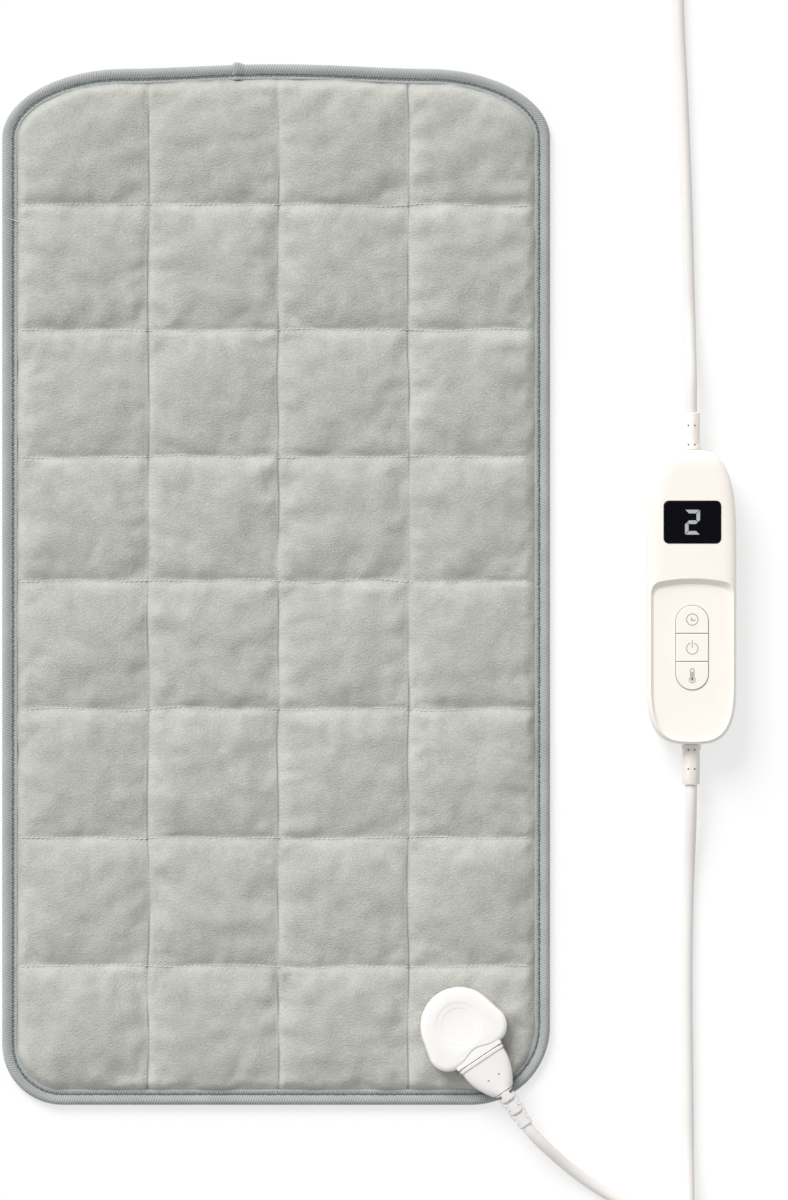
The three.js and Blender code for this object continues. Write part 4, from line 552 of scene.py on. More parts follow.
def grained_finish(name, dark, light, grain, stretch=(1, 1, 1), gloss=None, depth=None, **sockets):
    """One noise drives a finish's colour and, where they are given, its gloss and its relief.

    The gloss is the noise's low and high values, and the roughness at each of them.
    """
    finish = Finish(name, **sockets)
    share = finish.noise(finish.place(stretch), **grain)
    finish.feed("Base Color", finish.mix(share, dark, light))
    if gloss:
        finish.feed("Roughness", finish.spread(share, *gloss))
    if depth:
        finish.relief(share, depth)
    return finish.material


def thread_finish(name, colour):
    dark, grain = dimmed(colour, 0.82), {"scale": 1600}
    return grained_finish(name, dark, colour, grain, depth=0.1, Roughness=0.7, Sheen_Weight=0.2)


def metal_finish(name, colour, roughness):
    gloss = (0, 1, roughness - METAL_GLOSS_DRIFT, roughness + METAL_GLOSS_DRIFT)
    dark, grain, drawn = dimmed(colour, 0.85), {"scale": 1, "detail": 3}, (300, 2600, 2600)
    return grained_finish(name, dark, colour, grain, drawn, gloss, depth=0.02, Metallic=1.0)


def felt_finish():
    grain, laid = {"scale": 1, "detail": 4, "roughness": 0.7}, (900, 300, 900)
    return grained_finish("felt", FELT_DARK, FELT_LIGHT, grain, laid, depth=0.4, Roughness=0.95)


def lens_finish():
    """A polished black window with faint dust in its gloss."""
    grain, gloss = {"scale": 900, "detail": 4, "roughness": 0.7}, (0.45, 0.85, 0.06, 0.16)
    return grained_finish("lens_black", LENS_DARK, LENS_LIGHT, grain, gloss=gloss, Specular_IOR_Level=0.08)


def display_finish():
    """Lit segments behind the window: grey, with a faint cell pattern."""
    grain, glow = {"scale": 1500, "detail": 1}, srgb(*DIGIT_LIGHT)
    return grained_finish(
        "display_digit", DIGIT_DARK, DIGIT_LIGHT, grain, Roughness=0.5, Emission_Strength=0.25,
        Emission_Color=glow,
    )


def board_finish():
    """A coated circuit board: thin copper lines show through the green."""
    finish = Finish("board_green", Roughness=0.4)
    lines = finish.node("TexBrick", 1, {"Vector": finish.place(), "Scale": 60.0, "Mortar Size": 0.03})
    finish.feed("Base Color", finish.mix(lines, BOARD_GREEN, BOARD_LINES))
    finish.relief(lines, distance=0.05)
    return finish.material


def floor_finish():
    """Pale ground that keeps its shadows, lightened where the camera sees it or a gloss mirrors it."""
    finish = Finish("floor", Roughness=0.9)
    finish.feed("Base Color", finish.mix(finish.noise(finish.place(), scale=8), FLOOR_DARK, FLOOR_LIGHT))
    seen = 0.0
    for kind in ("Camera", "Glossy", "Transmission"):
        seen = finish.maths("MAXIMUM", finish.node("LightPath", f"Is {kind} Ray", {}), seen)
    share = finish.maths("MULTIPLY", seen, FLOOR_WHITE)
    white = finish.node("Emission", 0, {})
    paper = finish.node("MixShader", 0, {0: share, 1: finish.shader.outputs[0], 2: white})
    finish.put(finish.tree.nodes["Material Output"].inputs["Surface"], paper)
    return finish.material


finishes = {name: moulded_finish(name, *recipe) for name, recipe in MOULDED.items()} | {
    "plush": plush_finish(),
    "binding_tape": tape_finish(),
    "felt": felt_finish(),
    "quilt_thread": thread_finish("quilt_thread", THREAD),
    "binding_thread": thread_finish("binding_thread", BINDING_THREAD),
    "lens_black": lens_finish(),
    "display_digit": display_finish(),
    "board_green": board_finish(),
    "brass": metal_finish("brass", BRASS, 0.32),
    "steel": metal_finish("steel", STEEL, 0.35),
    "floor": floor_finish(),
}


# Shapes: each one is a pair of points and faces
def add(name, data):
    made = bpy.data.objects.new(name, data)
    bpy.context.scene.collection.objects.link(made)
    return made


def piece(name, shape, body=None, slot=None, finish=None):
    """A smooth-shaded mesh from a shape in millimetres, which rides on a CAD body."""
    points, faces = shape
    mesh = bpy.data.meshes.new(name)
    mesh.from_pydata([tuple(c * MM for c in point) for point in points], [], faces)
    edit = bmesh.new()
    edit.from_mesh(mesh)
    bmesh.ops.recalc_face_normals(edit, faces=edit.faces)
    edit.to_mesh(mesh)
    edit.free()
    mesh.shade_smooth()
    if finish or slot:
        mesh.materials.append(finishes[finish or slot])
    made = add(name, mesh)
    if body:
        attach(made, body)
    return made


def tube(name, kind, route, radius, resolution, finish):
    """A round curve along a route."""
    data = bpy.data.curves.new(name, "CURVE")
    data.dimensions = "3D"
    data.bevel_depth = radius * MM
    data.bevel_resolution = resolution
    data.use_fill_caps = True
    spline = data.splines.new(kind)
    spline.points.add(len(route) - 1)
    for point, place in zip(spline.points, route):
        point.co = (*(c * MM for c in place), 1)
    spline.use_smooth = True
    spline.use_endpoint_u = True
    data.materials.append(finishes[finish])
    return add(name, data)


def smooth(share):
    """Eases a share in and out between 0 and 1; works on arrays."""
    return share * share * (3 - 2 * share)


def loft(rings, closed=False):
    """A skin over rings of equally many points, capped unless it closes on itself."""
    count = len(rings[0])
    points = [tuple(point) for ring in rings for point in ring]
    faces = []
    for r in range(len(rings) if closed else len(rings) - 1):
        low, high = r * count, ((r + 1) % len(rings)) * count
        for i in range(count):
            j = (i + 1) % count
            faces.append((low + i, low + j, high + j, high + i))
    if not closed:
        faces.append(tuple(range(count))[::-1])
        faces.append(tuple(range(len(points) - count, len(points))))
    return points, faces


def lathe(profile, sides=ROUND, turn=Matrix(), shift=(0, 0, 0)):
    """Rings of (height, radius) pairs about +Z, turned and moved into place; a cap closes each end."""
    angles = np.linspace(0, 2 * math.pi, sides, endpoint=False)
    rings = []
    for height, radius in profile:
        ring = [turn @ Vector((radius * math.cos(a), radius * math.sin(a), height)) for a in angles]
        rings.append([point + Vector(shift) for point in ring])
    return loft(rings)


def rod(radius, low, high, x, y, sides=ROD_ROUND):
    return lathe([(low, radius), (high, radius)], sides, shift=(x, y, 0))


def at_height(outline, height):
    return [(x, y, height) for x, y in outline]


def prism(outline, low, high):
    return loft([at_height(outline, low), at_height(outline, high)])


def bar(start, stop, width, height, corner):
    """A rounded bar along +X, about the plug's axis."""
    outline = rounded_rectangle(width, height, corner)
    return loft([[(x, across, PLUG_AXIS + up) for across, up in outline] for x in (start, stop)])


def moved(shape, matrix):
    points, faces = shape
    return [tuple(matrix @ Vector(point)) for point in points], faces


def arc(x, y, radius, start, stop, steps):
    return [(x + radius * math.cos(a), y + radius * math.sin(a)) for a in np.linspace(start, stop, steps + 1)]


def rounded_rectangle(width, length, radius, y=0.0, steps=8):
    points = []
    for corner, (side_x, side_y) in enumerate(((1, 1), (-1, 1), (-1, -1), (1, -1))):
        middle = (side_x * (width / 2 - radius), y + side_y * (length / 2 - radius))
        points += arc(*middle, radius, corner * math.pi / 2, (corner + 1) * math.pi / 2, steps)
    return points


def squared_arc(half_x, half_y, power, angles):
    """Points of a superellipse, squarer with a higher power."""
    def signed(value):
        return math.copysign(abs(value) ** (2 / power), value)

    return [(half_x * signed(math.cos(a)), half_y * signed(math.sin(a))) for a in angles]


def settle(made):
    """Replaces a piece's mesh with what its modifiers make of it."""
    graph = bpy.context.evaluated_depsgraph_get()
    mesh = bpy.data.meshes.new_from_object(made.evaluated_get(graph))
    made.modifiers.clear()
    made.data = mesh


def combine(made, operation, shapes, matrix):
    """Joins shapes to a piece or cuts them from it, once the matrix has moved them into place."""
    tools = [piece(f"tool_{i}", moved(shape, matrix)) for i, shape in enumerate(shapes)]
    for tool in tools:
        tool.data.materials.append(made.data.materials[0])
        modifier = made.modifiers.new("combine", "BOOLEAN")
        modifier.operation = operation
        modifier.solver = "EXACT"
        modifier.object = tool
    settle(made)
    for tool in tools:
        bpy.data.objects.remove(tool)


def weld(made):
    modifier = made.modifiers.new("weld", "WELD")
    modifier.merge_threshold = WELD * MM


def crisp(made, width=BEVEL):
    """Smooth faces between edges that are softened by a narrow bevel."""
    made.data.shade_smooth()
    weld(made)
    bevel = made.modifiers.new("bevel", "BEVEL")
    bevel.width = width * MM
    bevel.segments = BEVEL_STEPS
    bevel.limit_method = "ANGLE"
    bevel.angle_limit = SHARP_ANGLE
    bevel.harden_normals = True


def dress(node, finish):
    """Gives a CAD node its finish, with its facets shaded as the round faces they stand for."""
    mesh = node.data
    for name in ("custom_normal", "sharp_edge"):
        if name in mesh.attributes:
            mesh.attributes.remove(mesh.attributes[name])
    mesh.materials.clear()
    mesh.materials.append(finish)
    mesh.shade_smooth()
    weld(node)
    split = node.modifiers.new("split", "EDGE_SPLIT")
    split.split_angle = SHARP_ANGLE
    split.use_edge_sharp = False


for subpart in frame["record"]["subparts"]:
    dress(nodes[subpart["node"]], finishes[subpart["material_slot"]])


# Leads
def smooth_route(route):
    """Points along a centripetal curve through a route, about ROUTE_STEP apart."""
    points = [np.array(point, float) for point in route]
    points = [2 * points[0] - points[1], *points, 2 * points[-1] - points[-2]]
    made = []
    for a, b, c, d in zip(points, points[1:], points[2:], points[3:]):
        before, span, after = (math.sqrt(np.linalg.norm(q - p)) for p, q in ((a, b), (b, c), (c, d)))
        leave = ((b - a) / before - (c - a) / (before + span) + (c - b) / span) * span
        reach = ((c - b) / span - (d - b) / (span + after) + (d - c) / after) * span
        for t in np.linspace(0, 1, math.ceil(span * span / ROUTE_STEP), endpoint=False):
            bend = (2 * b - 2 * c + leave + reach) * t**3 + (3 * c - 3 * b - 2 * leave - reach) * t**2
            made.append(bend + leave * t + b)
    return [*made, points[-2]]


def coil_route(coil):
    """A coil's axis: it spirals in on the surface, climbs where it reverses, and spirals out."""
    def swing(turn):
        return COIL_PITCH * (np.hypot(turn, COIL_ROUNDING) - COIL_ROUNDING)

    half = coil["turns"] / 2
    turn = np.linspace(-half, half, round(coil["turns"] * COIL_STEPS) + 1)
    angle = math.radians(coil["start"]) + coil["way"] * (turn + half) * 2 * math.pi
    radius = coil["outer"] - swing(half) + swing(turn)
    z = COIL_LOW + COIL_LAYER * smooth(np.clip(turn / COIL_CLIMB + 0.5, 0, 1))
    points = np.stack([coil["x"] + radius * np.cos(angle), coil["y"] + radius * np.sin(angle), z], axis=1)
    ahead = coil["way"] * CORD * np.stack([-np.sin(angle), np.cos(angle), 0 * angle], axis=1)
    return [points[0] - ahead[0], *points, points[-1] + ahead[-1]]


def past_end(end, before):
    """Two points that lead on past a route's end."""
    end, before = Vector(end), Vector(before)
    return [tuple(end + (end - before).normalized() * distance) for distance in (END_GAP, CORD)]


def on_connector(along, across=0.0, height=PLUG_AXIS):
    cosine, sine = math.cos(CONNECTOR_TURN), math.sin(CONNECTOR_TURN)
    x = CONNECTOR_X + along * cosine - across * sine
    return x, CONNECTOR_Y + along * sine + across * cosine, height


def at_sleeve(end, way):
    return [(CONTROLLER_X, CONTROLLER_Y + end + way * gap, CASE_SPLIT) for gap in (END_GAP, END_GAP + CORD)]


def led(start, places, stop):
    """A smooth route over some places, from the two points at its start to the two at its end."""
    return smooth_route([*start, *((*place, CORD_REST)[:3] for place in places), *stop[::-1]])


def cord_piece(name, route, replaced):
    """A round lead along a route, in place of the CAD leads that it hides."""
    cord = tube(name, "POLY", route, CORD / 2, CORD_BEVEL_STEPS, "lead_white")
    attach(cord, "control_set")
    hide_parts(*replaced)


def make_cords():
    relief_end = RELIEF_START + RELIEF_LENGTH
    at_relief = [on_connector(relief_end - END_GAP), on_connector(relief_end + CORD / 2)]
    coil = coil_route(PAD_COIL)
    route = [
        *led(at_relief, PAD_LEAD_OUT, past_end(coil[0], coil[1])), *coil,
        *led(past_end(coil[-1], coil[-2]), PAD_LEAD_BACK, at_sleeve(CASE_BOTTOM - SLEEVE_BOTTOM_LENGTH, -1)),
    ]
    replaced = ("pad_lead_from_connector", "pad_lead_coil", "pad_lead_to_controller")
    cord_piece("pad_lead", route, replaced)

    ahead = (math.cos(MAINS_PLUG_TURN), math.sin(MAINS_PLUG_TURN), 0)
    plug_front = tuple(p + a for p, a in zip(MAINS_PLUG, ahead))
    coil = coil_route(MAINS_COIL)
    route = [
        *led(at_sleeve(CASE_TOP + SLEEVE_TOP_LENGTH, 1), MAINS_LEAD_OUT, past_end(coil[0], coil[1])), *coil,
        *led(past_end(coil[-1], coil[-2]), MAINS_LEAD_END, past_end(MAINS_PLUG, plug_front)),
    ]
    replaced = ("mains_lead", "mains_lead_coil", "mains_lead_end")
    cord_piece("mains_cord", route, replaced)


make_cords()


# Pad
def with_edges(seams, half):
    return np.array([-half, *seams, half])


CELL_COLUMNS = with_edges(COLUMN_SEAMS, PAD_WIDTH / 2 - RIM_HELD)
CELL_ROWS = with_edges(ROW_SEAMS, PAD_LENGTH / 2 - RIM_HELD)


def top_bow(share):
    """How far the upper edge stands above its corners, from its middle at 0 to its ends at -1 and 1."""
    return PAD_TOP_BOW * np.clip(1 - share**2, 0, 1) ** 2


def pad_inset(x, y):
    """How far points lie inside the pad's outline; works on arrays."""
    lower = np.where(x > 0, CORNER_BOTTOM_RIGHT, CORNER_BOTTOM_LEFT)
    across = np.where(y > 0, CORNER_TOP_ACROSS, lower)
    along = np.where(y > 0, CORNER_TOP_ALONG, lower)
    fall = np.where(y > 0, PAD_TOP_BOW - top_bow(x / (PAD_WIDTH / 2 - CORNER_TOP_ACROSS)), 0)
    from_side = PAD_WIDTH / 2 - np.abs(x)
    from_end = PAD_LENGTH / 2 - fall - np.abs(y)
    inset = np.minimum(from_side, from_end)
    in_corner = (from_side < across) & (from_end < along)
    for _ in range(INSET_STEPS):
        reach_x = np.maximum(across - from_side, 0) / np.maximum(across - inset, 1)
        reach_y = np.maximum(along - from_end, 0) / np.maximum(along - inset, 1)
        inset = inset + np.where(in_corner, (1 - np.hypot(reach_x, reach_y)) * (along - inset), 0)
    return inset


def pad_outline(inset):
    """The pad's outline drawn in by `inset`, as an array of points that keep their order."""
    corners = (
        (1, 1, CORNER_TOP_ACROSS, CORNER_TOP_ALONG, PAD_TOP_BOW),
        (-1, 1, CORNER_TOP_ACROSS, CORNER_TOP_ALONG, PAD_TOP_BOW),
        (-1, -1, CORNER_BOTTOM_LEFT, CORNER_BOTTOM_LEFT, 0),
        (1, -1, CORNER_BOTTOM_RIGHT, CORNER_BOTTOM_RIGHT, 0),
    )
    arcs = []
    for quarter, (side_x, side_y, across, along, fall) in enumerate(corners):
        middle = (side_x * (PAD_WIDTH / 2 - across), side_y * (PAD_LENGTH / 2 - fall - along))
        steps = round((across + along) * math.pi / 4 / OUTLINE_STEP)
        angles = (quarter + np.linspace(0, 1, steps + 1)) * math.pi / 2
        reach = np.stack([(across - inset) * np.cos(angles), (along - inset) * np.sin(angles)], axis=1)
        arcs.append(middle + reach)
    outline = []
    for quarter, corner in enumerate(arcs):
        leave, meet = corner[-1], arcs[(quarter + 1) % len(arcs)][0]
        shares = np.linspace(0, 1, math.ceil(math.dist(leave, meet) / OUTLINE_STEP) + 1)[1:-1]
        edge = leave + np.outer(shares, meet - leave)
        if quarter == 0:
            edge[:, 1] += top_bow(2 * shares - 1)
        outline += [corner, edge]
    return np.vstack(outline)


def grid_lines(stops):
    """Lines about QUILT_GRID apart that fall on every stop."""
    made = [stops[0]]
    for low, high in zip(stops, stops[1:]):
        made.extend(np.linspace(low, high, round((high - low) / QUILT_GRID) + 1)[1:])
    return np.array(made)


def cell_share(values, stops):
    """How far each value lies across its cell, from 0 to 1."""
    cell = np.clip(np.searchsorted(stops, values) - 1, 0, len(stops) - 2)
    return np.clip((values - stops[cell]) / (stops[cell + 1] - stops[cell]), 0, 1)


def from_stops(values, stops):
    return np.min(np.abs(values[..., None] - stops), axis=2)


def drift(x, y, size, layer):
    """Smooth repeatable noise over arrays of places, with features of about `size`."""
    depth = NOISE_LAYERS[layer]
    flat = [noise.noise(Vector((px / size, py / size, depth))) for px, py in zip(x.ravel(), y.ravel())]
    return np.array(flat).reshape(x.shape)


def socket_outline(inset, steps=24):
    """The socket cover's outline drawn in by `inset`: the hull of its round back and its two lobes."""
    lobes = [(-SOCKET_LOBE_BACK, side * SOCKET_LOBE_SPACING / 2, SOCKET_LOBE) for side in (-1, 1)]
    circles = [*lobes, (-SOCKET_DISC_BACK, 0, SOCKET_DISC)]

    def facing(here, there):
        run, rise = there[0] - here[0], there[1] - here[1]
        return math.atan2(rise, run) - math.acos((here[2] - there[2]) / math.hypot(run, rise))

    points = []
    for i, (x, y, radius) in enumerate(circles):
        start = facing(circles[i - 1], circles[i])
        sweep = (facing(circles[i], circles[(i + 1) % len(circles)]) - start) % (2 * math.pi)
        points += arc(x, y, radius - inset, start, start + sweep, steps)
    return points


def past_socket(x, y):
    """How far points lie outside the socket's outline, below 0 inside it; works on arrays."""
    rim = np.array([on_connector(*point)[:2] for point in socket_outline(0)])
    edge = np.roll(rim, -1, axis=0) - rim
    long = np.hypot(edge[:, 0], edge[:, 1]) > SHORT_EDGE
    out = np.stack([edge[:, 1], -edge[:, 0]], axis=1)[long]
    out /= np.linalg.norm(out, axis=1, keepdims=True)
    return np.max([(x - px) * nx + (y - py) * ny for (px, py), (nx, ny) in zip(rim[long], out)], axis=0)


def quilt_sheet():
    """The front's grid before it is inflated: places, which points exist, and which are sewn down."""
    x, y = np.meshgrid(
        grid_lines(with_edges(COLUMN_SEAMS, PAD_WIDTH / 2 - SHEET_EDGE)),
        grid_lines(with_edges(ROW_SEAMS, PAD_LENGTH / 2 - SHEET_EDGE)),
    )
    inset = pad_inset(x, y)
    on_column, on_row = np.isin(x, COLUMN_SEAMS), np.isin(y, ROW_SEAMS)
    across, along = cell_share(x, CELL_COLUMNS), cell_share(y, CELL_ROWS)
    pillow = (1 - np.abs(2 * across - 1) ** PILLOW_POWER) * (1 - np.abs(2 * along - 1) ** PILLOW_POWER)
    rough = START_ROUGHNESS * drift(x, y, START_WAVE, "crown") * (pillow > 0)
    z = np.where(on_row, ROW_SEAM_HEIGHT, ROW_SEAM_HEIGHT + START_CROWN * pillow + rough)
    z = np.where(on_column, COLUMN_SEAM_HEIGHT, z)
    rise = np.clip((inset - RIM_HELD - RIM_WANDER * drift(x, y, RIM_WAVE, "rim")) / RIM_RISE, 0, 1)
    z = RIM_HEIGHT + (z - RIM_HEIGHT) * smooth(rise)
    pressed = past_socket(x, y) < 0
    z = np.where(pressed, socket_low - END_GAP, z)
    x = x + np.where(on_column, SEAM_WANDER * drift(x, y, SEAM_WAVE, "columns"), 0)
    y = y + np.where(on_row, SEAM_WANDER * drift(x, y, SEAM_WAVE, "rows"), 0)
    held = (inset < RIM_HELD) | on_column | on_row | pressed
    return np.stack([x, y, z], axis=2), inset > SHEET_EDGE, held


def grid_faces(exists):
    """Vertex numbers of a grid's existing points, and the quads whose four corners exist."""
    number = np.full(exists.shape, -1)
    number[exists] = np.arange(exists.sum())
    quads = np.stack([number[:-1, :-1], number[:-1, 1:], number[1:, 1:], number[1:, :-1]], axis=2)
    quads = quads.reshape(-1, 4)
    return number, [tuple(int(v) for v in quad) for quad in quads[(quads >= 0).all(axis=1)]]


def inflate(sheet, exists, held):
    """Blows the slack sheet up between its seams with a cloth simulation; returns its new places."""
    number, faces = grid_faces(exists)
    cloth = piece("cloth", (sheet[exists], faces), finish="plush")
    sewn = cloth.vertex_groups.new(name="sewn")
    sewn.add([int(v) for v in number[exists & held]], 1, "REPLACE")
    tight = cloth.vertex_groups.new(name="tight")
    change = TIGHT_CHANGE * drift(sheet[..., 0], sheet[..., 1], TIGHT_WAVE, "tight")
    for vertex, weight in zip(number[exists], np.clip(TIGHT + change, 0, 1)[exists]):
        tight.add([int(vertex)], float(weight), "REPLACE")
    modifier = cloth.modifiers.new("cloth", "CLOTH")
    for setting, value in CLOTH.items():
        setattr(modifier.settings, setting, value)
    modifier.settings.effector_weights.gravity = 0
    modifier.collision_settings.use_collision = False
    modifier.point_cache.frame_start = 1
    modifier.point_cache.frame_end = CLOTH_FRAMES
    for step in range(1, CLOTH_FRAMES + 1):
        bpy.context.scene.frame_set(step)
    settle(cloth)
    flat = np.zeros(len(cloth.data.vertices) * 3)
    cloth.data.vertices.foreach_get("co", flat)
    bpy.data.objects.remove(cloth)
    bpy.context.scene.frame_set(1)
    blown = sheet.copy()
    blown[exists] = flat.reshape(-1, 3) / MM
    return blown


def from_connector(x, y):
    """Places in the connector's own frame, along and across the plug's way out; works on arrays."""
    dx, dy = x - CONNECTOR_X, y - CONNECTOR_Y
    along = dx * math.cos(CONNECTOR_TURN) + dy * math.sin(CONNECTOR_TURN)
    return along, dy * math.cos(CONNECTOR_TURN) - dx * math.sin(CONNECTOR_TURN)


def under_plug(x, y):
    """True under the plug and its strain relief, where the front has to stay low; works on arrays."""
    along, across = from_connector(x, y)
    return (along > -UNDER_PLUG_BACK) & (np.abs(across) < PLUG_WIDTH / 2 + UNDER_PLUG_SIDE)


def painted_seam_shade(sheet, held):
    """How much painted shade the front gets: fully down the columns' seams, less along the rows, and at the
    rim.
    """
    x, y = sheet[..., 0], sheet[..., 1]
    # painted shade where the front meets the binding
    rim = RIM_SHADE * np.clip(1 - (pad_inset(x, y) - RIM_HELD) / RIM_RISE, 0, 1)
    on_column = from_stops(x, np.array(COLUMN_SEAMS)) < SEAM_WANDER
    shade_share = np.where(held, np.where(on_column, 1, ROW_SEAM_SHADE), 0)
    shade_share = shade_share * (SEAM_SHADE + SEAM_SHADE_CHANGE * drift(x, y, START_WAVE, "shade_share"))
    return np.where(past_socket(x, y) < 0, 0, np.clip(np.maximum(shade_share, rim), 0, 1))


def seam_relief(x, y):
    """How far the fill lifts the front, creased where seams pull it, and how much painted highlight lies
    beside its seams and rim.
    """
    from_columns, from_rows = from_stops(x, CELL_COLUMNS), from_stops(y, CELL_ROWS)
    nearest = np.minimum(np.minimum(from_columns, from_rows), np.maximum(pad_inset(x, y) - RIM_HELD, 0))

    def fade(distance):
        return np.exp(-distance / PUCKER_REACH) * (1 - np.exp(-distance / PUCKER_ROOT))

    creases = fade(from_rows) * drift(x, y * PUCKER_STRETCH, PUCKER_WAVE, "row_creases")
    creases += fade(from_columns) * drift(x * PUCKER_STRETCH, y, PUCKER_WAVE, "column_creases")
    along, across = from_connector(x, y)
    turn = np.arctan2(across, -along - SOCKET_DISC_BACK) * SOCKET_DISC
    past = np.maximum(past_socket(x, y), 0)
    creases += SOCKET_PUCKER * fade(past) * drift(turn, past * PUCKER_STRETCH, PUCKER_WAVE, "socket_creases")
    dents = drift(x, y, DENT_WAVE, "dents") + drift(x, y, DENT_WAVE / 2, "small_dents") / 2
    lift = (1 - np.exp(-nearest / SHOULDER_RUN)) * (SHOULDER + PUCKER * creases + DENT * dents)
    # painted highlight: the pile is lightened beside the seams and the rim, fading within a few millimetres
    seam_highlight = np.exp(-nearest / SEAM_HIGHLIGHT_REACH) * (SEAM_HIGHLIGHT + drift(x, y, START_WAVE, "seam_highlight"))
    return lift, seam_highlight


def front_places():
    """The front's finished grid: inflated, evened out by its pile, and kept clear of the connector."""
    sheet, exists, held = quilt_sheet()
    blown = inflate(sheet, exists, held)
    x, y, z = (blown[..., axis] for axis in range(3))
    relief = np.where(held, 0, z - ROW_SEAM_HEIGHT)
    z = np.where(relief > 0, ROW_SEAM_HEIGHT + RELIEF_KEPT * relief, z)
    lift, seam_highlight = seam_relief(x, y)
    z = z + np.where(held, 0, lift)
    low = under_plug(x, y) | (past_socket(x, y) < 0)
    blown[..., 2] = np.minimum(z, np.where(low, socket_low - END_GAP, CROWN_LIMIT))
    # the shares are painted shade down the seams and painted highlight beside them
    return blown, exists, {"seam": painted_seam_shade(sheet, held), "seam_highlight": seam_highlight}


def make_front(places, exists, shares):
    _, faces = grid_faces(exists)
    front = piece("quilted_front", (places[exists], faces), "pad", "plush")
    if front.data.polygons[len(faces) // 2].normal.z < 0:
        front.data.flip_normals()
    for name, share in shares.items():
        layer = front.data.attributes.new(name, "FLOAT", "POINT")
        layer.data.foreach_set("value", share[exists].astype(np.float32))
    shell = front.modifiers.new("thickness", "SOLIDIFY")
    shell.thickness = COVER_THICK * MM
    shell.offset = -1
    rounded = front.modifiers.new("smooth", "SUBSURF")
    rounded.levels = rounded.render_levels = 1
    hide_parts("pad_front_cover")


def make_wadding(places, exists):
    """A crowned fill under the front, flat below, sewn thin at every seam."""
    near = [np.roll(places[..., 2], (i, j), (0, 1)) for i in (-1, 0, 1) for j in (-1, 0, 1)]
    coarse = places[::2, ::2]
    x, y = coarse[..., 0], coarse[..., 1]
    there = exists[::2, ::2] & (pad_inset(x, y) > RIM_HELD + RIM_RISE) & (past_socket(x, y) > 0)
    top = coarse[there]
    lowest = np.min(near, axis=0)[::2, ::2][there]
    top[:, 2] = np.maximum(lowest - COVER_THICK - END_GAP, PILE_LOW + END_GAP)
    fill = piece("quilted_wadding", (top, grid_faces(there)[1]), "pad", "felt")
    edit = bmesh.new()
    edit.from_mesh(fill.data)
    made = bmesh.ops.extrude_face_region(edit, geom=edit.faces[:], use_keep_orig=True)
    for vertex in made["geom"]:
        if isinstance(vertex, bmesh.types.BMVert):
            vertex.co.z = PILE_LOW * MM
    bmesh.ops.recalc_face_normals(edit, faces=edit.faces)
    edit.to_mesh(fill.data)
    edit.free()
    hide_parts("front_wadding")


def make_layer(name, profile, slot, node):
    """A thin layer over the pad's whole outline, from (inset, height) steps round its edge."""
    layer = piece(name, loft([at_height(pad_outline(inset), z) for inset, z in profile]), "pad", slot)
    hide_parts(node)


def closed(outline):
    return np.vstack([outline, outline[:1]])


def lengths_along(route):
    """How far each point of a route lies from its start."""
    return np.concatenate([[0], np.cumsum(np.linalg.norm(np.diff(route, axis=0), axis=1))])


def make_binding():
    """Tape folded round the rim and ribbed across: a round outer roll, pressed down along its stitching."""
    fold = np.array(BINDING_PROFILE)[:, :2]
    across = lengths_along(fold)
    way = np.roll(fold, -1, axis=0) - np.roll(fold, 1, axis=0)
    way /= np.linalg.norm(way, axis=1, keepdims=True)
    far = lengths_along(closed(pad_outline(0)))
    count = 2 * round(far[-1] / BINDING_RIB)
    ribs = np.where(np.arange(count) % 2, -RIB_RISE, RIB_RISE)
    rings = []
    for (inset, height, ribbed), reach, (way_in, way_up) in zip(BINDING_PROFILE, across, way):
        places = (np.arange(count) * far[-1] / count + BINDING_SLANT * reach) % far[-1]
        edge, beyond = closed(pad_outline(inset)), closed(pad_outline(inset - 1))
        x, y, out_x, out_y = (np.interp(places, far, part) for part in (*edge.T, *(beyond - edge).T))
        lap = np.clip((x - JOINT_X) / JOINT_LENGTH + 1, 0, 1) % 1
        lift = JOINT_RISE * np.sin(math.pi * np.sqrt(lap)) * (y > 0)
        out = ribs * ribbed * way_up + lift * (inset < JOINT_OUTSIDE)
        up = ribs * ribbed * way_in + lift * (height > JOINT_ABOVE)
        rings.append(np.stack([x + out_x * out, y + out_y * out, height + up], axis=1))
    binding = piece("binding", loft(rings, closed=True), "pad", "binding_tape")
    map_tape(binding.data, count, across)
    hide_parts("pad_binding")


def map_tape(mesh, count, across):
    """Maps the swept tape: lengthways in ribs, and crossways in metres along its fold."""
    corners = np.zeros(len(mesh.loops), int)
    mesh.loops.foreach_get("vertex_index", corners)
    ring, place = np.divmod(corners.reshape(-1, 4), count)
    on_last = place.max(axis=1, keepdims=True) == count - 1
    place = np.where(on_last & (place == 0), count, place)
    layer = mesh.uv_layers.new(name="tape")
    layer.data.foreach_set("uv", np.stack([place / 2, across[ring] * MM], axis=2).ravel())


def resampled(points):
    """Points along a route, a stitch's pitch apart."""
    points = np.array(points, float)
    far = lengths_along(points)
    places = np.arange(0, far[-1], STITCH_PITCH)
    return np.stack([np.interp(places, far, points[:, axis]) for axis in range(3)], axis=1)


